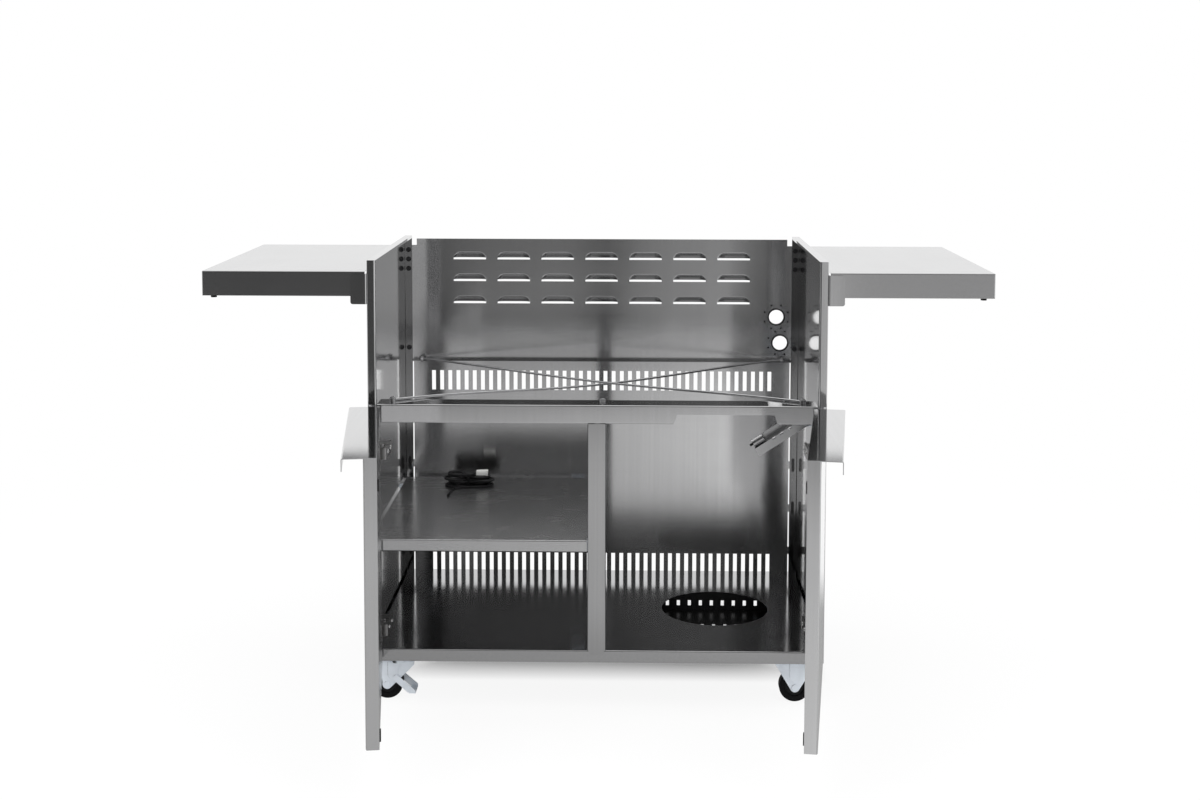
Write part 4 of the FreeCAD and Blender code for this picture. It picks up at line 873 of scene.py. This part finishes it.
@dataclass
class Lead:
    """Lead tied up as a loose hank on the middle shelf, with a pale connector on top."""

    radius: float = 0.00225
    place: Point = (-0.302, 0.452 + FRONT_Y, 0.34855)
    half: float = 0.030             # middle of the hank to the centre of its end turns
    turns: Pair = (0.0135, 0.0202)
    waists: Pair = (0.0030, 0.0150)
    climb: float = 0.0063
    strays: tuple[Point, ...] = (   # left end, right end and shift of each layer
        (0.003, 0.004, -0.002), (-0.004, -0.006, 0.003), (0.005, 0.006, -0.003), (-0.002, -0.004, 0.004))
    rises: tuple[float, ...] = (0.0, 0.001, 0.003, 0.006)
    half_step: float = 22.5         # half the turn, in degrees, from one control point of an end to the next
    tail_turn: float = 0.037
    tail: float = 0.036
    sleeve: Profile = ((0.00232, -0.006), (0.00245, -0.0056), (0.00245, -0.0022), (0.00215, -0.0016),
                       (0.00215, 0.0016), (0.00245, 0.0022), (0.00245, 0.0062), (0.0021, 0.0070),
                       (0.0012, 0.0071), (0.0012, 0.0125), (0.0006, 0.0135))
    over_x: float = -0.002          # where the last turn crosses the top of the hank
    plug_x: float = 0.030
    plug_tall: float = 0.012
    lift: float = 0.0003
    shell: tuple[Block, ...] = (    # housing and the collar round its mouth
        Block((0.0, 0.0, 0.0), (0.027, 0.0144, 0.0110), 0.0012),
        Block((0.0110, 0.0, 0.0), (0.005, 0.016, 0.012), 0.0011))
    rib: Block = Block((-0.0095, 0.0, 0.0), (0.0014, 0.016, 0.0085), 0.0005)
    ribs: int = 4
    rib_pitch: float = 0.0032
    latch: tuple[Block, ...] = (    # latch and its hook
        Block((0.0015, 0.0, 0.0058), (0.013, 0.0055, 0.0016), 0.0006),
        Block((0.0067, 0.0, 0.0066), (0.0022, 0.0062, 0.0016), 0.0005))
    tie_width: float = 0.005
    tie_thick: float = 0.0002
    tie_corner: float = 0.004
    tie_steps: int = 6              # points round each corner of the tie
    tie_slack: Point = (0.0008, 0.00022, 0.0006)    # room at the sides, under and over the hank
    route: list[Vector] = field(default_factory=list)

    def loops(self) -> list[Loop]:
        """Lay out the hank.

        Returns:
            Its loops, from the lowest layer up.
        """
        made = []
        for layer, ((left, right, aside), rise) in enumerate(zip(self.strays, self.rises)):
            height = layer * self.climb
            for ring in (1, 0) if layer % 2 == 0 else (0, 1):
                made.append(Loop(self.turns[ring], self.waists[ring], height, (left, right), aside, rise))
        return made

    def bend(self, start: Vector, end: Vector) -> None:
        """Add two control points of an easy bend that leaves and arrives along X.

        Args:
            start: where the bend leaves.
            end: where it arrives.
        """
        along = end.x - start.x
        aside = (end - start).yz.length
        reach = math.copysign((along * along + aside * aside) / (4 * abs(along)), along)
        self.route.append(start + Vector((reach, 0, 0)))
        self.route.append(end - Vector((reach, 0, 0)))

    def half_turn(self, sign: int, loop: Loop) -> None:
        """Add four control points round one end of a loop.

        Args:
            sign: 1 for the right end, -1 for the left.
            loop: the loop.
        """
        corner = loop.turn / math.cos(math.radians(self.half_step))
        for step in (-3, -1, 1, 3):
            angle = math.radians(step * self.half_step)
            along = self.half + corner * math.cos(angle)
            self.route.append(loop.end(sign, along, sign * corner * math.sin(angle)))

    def lay_route(self) -> None:
        """Control points of the whole lead, from its tail to its connector."""
        loops = self.loops()
        waist = -self.turns[1] - self.climb
        knee = self.tail_turn * math.tan(math.radians(self.half_step))
        self.route = [Vector((-self.tail_turn, waist - self.tail_turn - self.tail, 0)),
                      Vector((-self.tail_turn, waist - self.tail_turn + knee, 0)),
                      Vector((-knee, waist, 0))]
        start = Vector((0.0, waist, 0.0))
        for index, loop in enumerate(loops):
            middle = Vector((0.0, loop.waist, loop.height))
            self.bend(start, loop.end(1, self.half, -loop.turn))
            self.half_turn(1, loop)
            self.bend(loop.end(1, self.half, loop.turn), middle)
            self.bend(middle, loop.end(-1, self.half, loop.turn))
            self.half_turn(-1, loop)
            if index + 1 < len(loops):
                after = loops[index + 1]
                start = Vector((0.0, -(loop.waist + after.waist) / 2, (loop.height + after.height) / 2))
                self.bend(loop.end(-1, self.half, -loop.turn), start)
        last = loops[-1]
        over = Vector((self.over_x, -self.waists[1], last.height + self.climb))
        top = self.plug_height()
        self.bend(last.end(-1, self.half, -last.turn), over)
        self.bend(over, Vector((self.plug_x - 3 * self.radius, 0.0, top)))
        self.route.append(Vector((self.plug_x, 0.0, top)))
        self.route = [Vector(self.place) + point for point in self.route]

    def hank_top(self) -> float:
        """Top of the hank above the middle of the lowest turn."""
        return (len(self.strays) - 1) * self.climb + self.radius

    def plug_height(self) -> float:
        """Middle of the connector above the middle of the lowest turn."""
        return self.hank_top() + self.plug_tall / 2 + self.lift

    def connector(self) -> bpy.types.Object:
        """Two-way connector with grips at its sides, a latch on top and a collar round its mouth.

        Returns:
            The new object.
        """
        shape = Shape()
        middle = Matrix.Translation(Vector(self.place) + Vector((self.plug_x, 0.0, self.plug_height())))
        first, *level = self.rib.middle
        grips = [Block((first + rib * self.rib_pitch, *level), self.rib.size, self.rib.edge)
                 for rib in range(self.ribs)]
        for block in (*self.shell, *grips, *self.latch):
            shape.rounded_block(middle @ Matrix.Translation(block.middle), block.size, block.edge)
        return shape.piece("connector_shell", "cabinet", PALE_PLUG, "lead_connector")

    def tail_end(self) -> bpy.types.Object:
        """Crimped sleeve with a bare pin at the lead's tail.

        Returns:
            The new object.
        """
        shape = Shape()
        shape.turned(Facing.FRONT.at(*self.route[0]), self.sleeve)
        return shape.piece("tail_sleeve", "cabinet", RUBBER)

    def tie(self) -> bpy.types.Object:
        """Thin band round the middle of the hank.

        Returns:
            The new object.
        """
        shape = Shape()
        beside, under, over = self.tie_slack
        corner = self.tie_corner
        wide = self.waists[1] + self.radius + beside - corner
        low, high = corner - self.radius - under, self.hank_top() + over - corner
        half, thick = self.tie_width / 2, self.tie_thick
        rings = []
        for across, middle, first in ((wide, high, 0), (-wide, high, 90), (-wide, low, 180), (wide, low, 270)):
            for step in range(self.tie_steps):
                angle = math.radians(first + step * 90.0 / (self.tie_steps - 1))
                out = Vector((0, math.cos(angle), math.sin(angle)))
                point = Vector(self.place) + Vector((0, across, middle)) + out * corner
                rings.append([shape.mesh.verts.new(point - out * deep + Vector((side, 0, 0)))
                              for side, deep in ((-half, 0.0), (half, 0.0), (half, thick), (-half, thick))])
        for ring, after in zip(rings, rings[1:] + rings[:1]):
            for step in range(4):
                turn = (step + 1) % 4
                shape.mesh.faces.new((ring[step], ring[turn], after[turn], after[step]))
        return shape.piece("lead_tie", "cabinet", RUBBER)

    def build(self) -> bpy.types.Object:
        """Make the lead as one smooth spline, with the pieces on it.

        Returns:
            The curve object.
        """
        self.lay_route()
        curve = bpy.data.curves.new("lead", "CURVE")
        curve.dimensions = "3D"
        curve.bevel_depth = self.radius
        curve.bevel_resolution = 5
        curve.use_fill_caps = True
        line = curve.splines.new("NURBS")
        line.points.add(len(self.route) - 1)
        for place, point in zip(line.points, self.route):
            place.co = (*point, 1.0)
        line.order_u = 3
        line.use_endpoint_u = True
        line.resolution_u = 8
        lead = bpy.data.objects.new("lead", curve)
        bpy.context.scene.collection.objects.link(lead)
        curve.materials.append(JACKET.material())
        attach(lead, "cabinet")
        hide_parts("wiring_lead")
        self.connector()
        self.tail_end()
        self.tie()
        log.info("lead laid with %d control points", len(self.route))
        return lead


@dataclass
class Hardware:
    """Nuts, screws and pegs of the body.

    A nut has its width across the flats, its height and its bolt's radius. A head has its width across the
    flats, or its radius if it is a pan head, and its height.
    """

    back_x: float = 0.451
    back_z: tuple[float, ...] = (0.651, 0.837, 0.859, 0.881)
    back_nut: Point = (0.0095, 0.0048, 0.0025)
    back_head: Pair = (0.0085, 0.004)
    return_face: float = FRONT_Y + 0.5488   # front of the side panels' rear returns
    panel_rear: float = FRONT_Y + 0.5512    # rear of the upper back panel
    braces: Profile = ((0.416, FRONT_Y + 0.036), (0.420, FRONT_Y + 0.537))  # X and Y of the rods' eyes
    brace_z: Pair = (0.6220, 0.6286)
    brace_nut: Point = (0.0080, 0.0030, 0.0020)
    brace_head: Pair = (0.0085, 0.0034)
    caster_x: float = 0.407
    caster_y: Pair = (FRONT_Y + 0.053, FRONT_Y + 0.497)
    caster_bolts: Pair = (0.042, 0.024)
    caster_nut: Point = (0.0080, 0.0040, 0.0029)
    caster_head: Pair = (0.0088, 0.0040)
    plate_low: float = 0.0925
    inside_x: float = 0.442         # casters' bolts nearer the middle than this go through the mounting plates
    bolt_tops: Pair = (0.0970, 0.0962)
    ports: Profile = ((0.408, 0.7260), (0.417, 0.6650))     # X and Z of the hose ports
    port_ring: float = 0.029
    pegs: int = 8
    peg_sides: int = 16
    peg: Profile = ((0.0010, -0.0011), (0.0019, -0.0007), (0.0021, 0.0), (0.0014, 0.0),
                    (0.0014, 0.0012), (0.0023, 0.0012), (0.0021, 0.0018), (0.0010, 0.0022))
    post_top: Point = (0.011, FRONT_Y + 0.044, 0.6232)
    post_nut: Point = (0.0105, 0.0050, 0.0030)
    hinge_z: Pair = (0.165, 0.527)
    arm_x: float = 0.4215
    arm_screws: Pair = (0.004, 0.040)
    arm_head: Pair = (0.0042, 0.0022)
    foot_x: float = 0.4345
    foot_y: float = FRONT_Y + 0.024
    foot_rise: float = 0.0052
    foot_head: Pair = (0.0036, 0.0020)

    def build(self) -> None:
        """Make every set of fasteners."""
        self.back_nuts()
        self.brace_screws()
        self.caster_screws()
        self.port_pegs()
        self.rail_nut()
        self.hinge_screws()

    def back_nuts(self) -> None:
        """Blackened nuts in front of the rear returns, and their heads behind the back panel."""
        shape = Shape()
        for side in Side:
            x = side.value * self.back_x
            for z in self.back_z:
                shape.flange_nut(Facing.FRONT.at(x, self.return_face, z), *self.back_nut)
                shape.hex_screw(Facing.REAR.at(x, self.panel_rear, z), *self.back_head)
        shape.piece("back_nuts", "cabinet", BLACK_BOLT, "body_bolts")

    def brace_screws(self) -> None:
        """Screws through the eyes of the brace rods, with their nuts under the sheets."""
        shape = Shape()
        low, high = self.brace_z
        for side in Side:
            for x, y in self.braces:
                shape.hex_screw(Facing.UP.at(side.value * x, y, high), *self.brace_head)
                shape.flange_nut(Facing.DOWN.at(side.value * x, y, low), *self.brace_nut)
        shape.piece("brace_screws", "cabinet", BOLT, "brace_bolts")

    def caster_screws(self) -> None:
        """Four bolts through each caster plate, with their nuts inside the floor."""
        shape = Shape()
        along, deep = self.caster_bolts
        for side in Side:
            for middle in self.caster_y:
                for step in (-along, along):
                    x = side.value * self.caster_x + step
                    top = self.bolt_tops[0 if abs(x) < self.inside_x else 1]
                    for y in (middle - deep, middle + deep):
                        shape.hex_screw(Facing.DOWN.at(x, y, self.plate_low), *self.caster_head)
                        shape.flange_nut(Facing.UP.at(x, y, top), *self.caster_nut)
        shape.piece("caster_screws", "cabinet", BOLT, "caster_bolts")

    def port_pegs(self) -> None:
        """Small black pegs in the ring of holes round each port."""
        shape = Shape()
        for x, z in self.ports:
            for peg in range(self.pegs):
                angle = math.tau * (peg + 0.5) / self.pegs
                at = Facing.FRONT.at(x + self.port_ring * math.cos(angle), self.panel_rear,
                                     z + self.port_ring * math.sin(angle))
                shape.turned(at, self.peg, sides=self.peg_sides)
        shape.piece("port_pegs", "cabinet", GROMMET)

    def rail_nut(self) -> None:
        """Nut on top of the front rail, over the post."""
        shape = Shape()
        shape.flange_nut(Facing.UP.at(*self.post_top), *self.post_nut)
        shape.piece("rail_nut", "cabinet", BOLT)

    def hinge_screws(self) -> None:
        """Bright screws on the inner face and the foot of each hinge arm."""
        shape = Shape()
        for side in Side:
            inward = Facing.LEFT if side is Side.RIGHT else Facing.RIGHT
            arm_x, foot_x = side.value * self.arm_x, side.value * self.foot_x
            for z in self.hinge_z:
                for deep in self.arm_screws:
                    shape.pan_screw(inward.at(arm_x, FRONT_Y + deep, z), *self.arm_head)
                for rise in (-self.foot_rise, self.foot_rise):
                    shape.pan_screw(Facing.FRONT.at(foot_x, self.foot_y, z + rise), *self.foot_head)
        shape.piece("hinge_screws", "cabinet", BRIGHT_LIP)


@dataclass
class Retainer:
    """Slotted arm that holds the tank, with its sprung pin."""

    pivot: Point = (0.428, FRONT_Y + 0.075, 0.577)
    tilt: float = 33.0              # degrees below level
    slots: tuple[float, ...] = (-0.036, -0.055, -0.074)
    lip: float = 0.0045             # half length of a pressed lip
    lip_form: Profile = ((0.92, -0.0005), (1.0, -0.0003), (1.0, 0.0), (0.8, 0.0004), (0.4, 0.0006))
    lip_share: float = 0.42         # width of a lip over its length
    lip_turn: float = 42.0
    lip_at: Pair = (0.0012, 0.0070)

    def build(self) -> None:
        """Dress the arm and its pin, and press a bright lip into each slot."""
        dress(RETAINER_SHEET, "retainer_arm")
        dress(RUBBER, "retainer_pin")
        arm = Matrix.Translation(self.pivot) @ Matrix.Rotation(math.radians(-self.tilt), 4, "Y")
        flat = Matrix.Rotation(math.radians(self.lip_turn), 4, "X")
        flat = flat @ Matrix.Diagonal((1.0, self.lip_share, 1.0, 1.0))
        shape = Shape()
        for x in self.slots:
            shape.turned(arm @ Matrix.Translation((x, *self.lip_at)) @ flat, self.lip_form, (self.lip, 1.0))
        shape.piece("retainer_lips", "retainer", BRIGHT_LIP)


@dataclass
class Cabinet:
    """Body of the cart: sheets, rods and bolts."""

    sides: tuple[str, ...] = ("left_side_panel", "right_side_panel", "left_shelf_bracket",
                              "right_shelf_bracket")
    hidden_zinc: tuple[str, ...] = ("caster_mounts", "shelf_clips", "retainer_bracket")

    def build(self) -> None:
        """Dress the body's nodes."""
        dress(UPPER_SHEET, "upper_back_panel")
        dress(LOWER_SHEET, "lower_back_panel")
        dress(RAIL_SHEET, "front_rail")
        dress(ACROSS_SHEET, "centre_post")
        dress(FLOOR_SHEET, "floor_pan")
        dress(TRAY_SHEET, "tank_tray")
        dress(SHELF_SHEET, "mid_shelf")
        dress(SIDE_SHEET, *self.sides, "shelf_pivot_bolts")
        dress(ZINC, *self.hidden_zinc)
        dress(ROD, "brace_rod_a", "brace_rod_b")
        dress(GROMMET, "hose_grommets")


@dataclass
class Doors:
    """Both doors with their hinges and pulls."""

    edge: float = 0.0004            # width of the broken edges of the hinges and bumpers

    def build(self) -> None:
        """Dress the doors' nodes."""
        for side in Side:
            word = side.word
            hinges = (f"{word}_hinge_cups", f"{word}_hinge_arms")
            dress(DOOR_SHEET, f"{word}_door_skin", f"{word}_door_liner")
            dress(PULL_SHEET, f"{word}_door_handle")
            dress(NICKEL, *hinges)
            dress(RUBBER, f"{word}_door_bumpers")
            ease_edges(self.edge, *hinges, f"{word}_door_bumpers")


@dataclass
class Shelves:
    """Both side shelves."""

    def build(self) -> None:
        """Dress the shelves' nodes."""
        for side in Side:
            dress(FLAT_SHEET, f"{side.word}_shelf_pan")
            dress(RUBBER, f"{side.word}_shelf_feet")


@dataclass
class Casters:
    """Four casters: the left pair swivel and brake, the right pair is fixed."""

    swivel: tuple[str, ...] = ("lf", "lr")
    fixed: tuple[str, ...] = ("rf", "rr")
    fold: float = 0.0014            # width of the broken edges of the forks and their pads
    plate_edge: float = 0.0006      # of the plates, pedals and swivel axles
    axle_edge: float = 0.0009       # of the fixed axles

    def build(self) -> None:
        """Dress the casters' nodes."""
        for name in self.swivel + self.fixed:
            dress(TREAD, f"{name}_tyre")
            dress(HUB, f"{name}_hub")
            dress(ZINC, f"{name}_caster_fork")
            ease_edges(self.fold, f"{name}_caster_fork")
        for name in self.swivel:
            metal = (f"{name}_axle", f"{name}_brake_pedal", f"{name}_caster_plate")
            dress(ZINC, *metal)
            ease_edges(self.plate_edge, *metal)
        dress(ZINC, "rigid_caster_axles")
        ease_edges(self.axle_edge, "rigid_caster_axles")


def main() -> None:
    """Build the scene in order."""
    logging.basicConfig(level=logging.INFO)
    CameraRig().build()
    Studio().build()
    Lead().build()
    for assembly in (Cabinet(), Hardware(), Retainer(), Doors(), Shelves(), Casters()):
        assembly.build()
    bpy.context.view_layer.update()


if __name__ == "__main__":
    main()
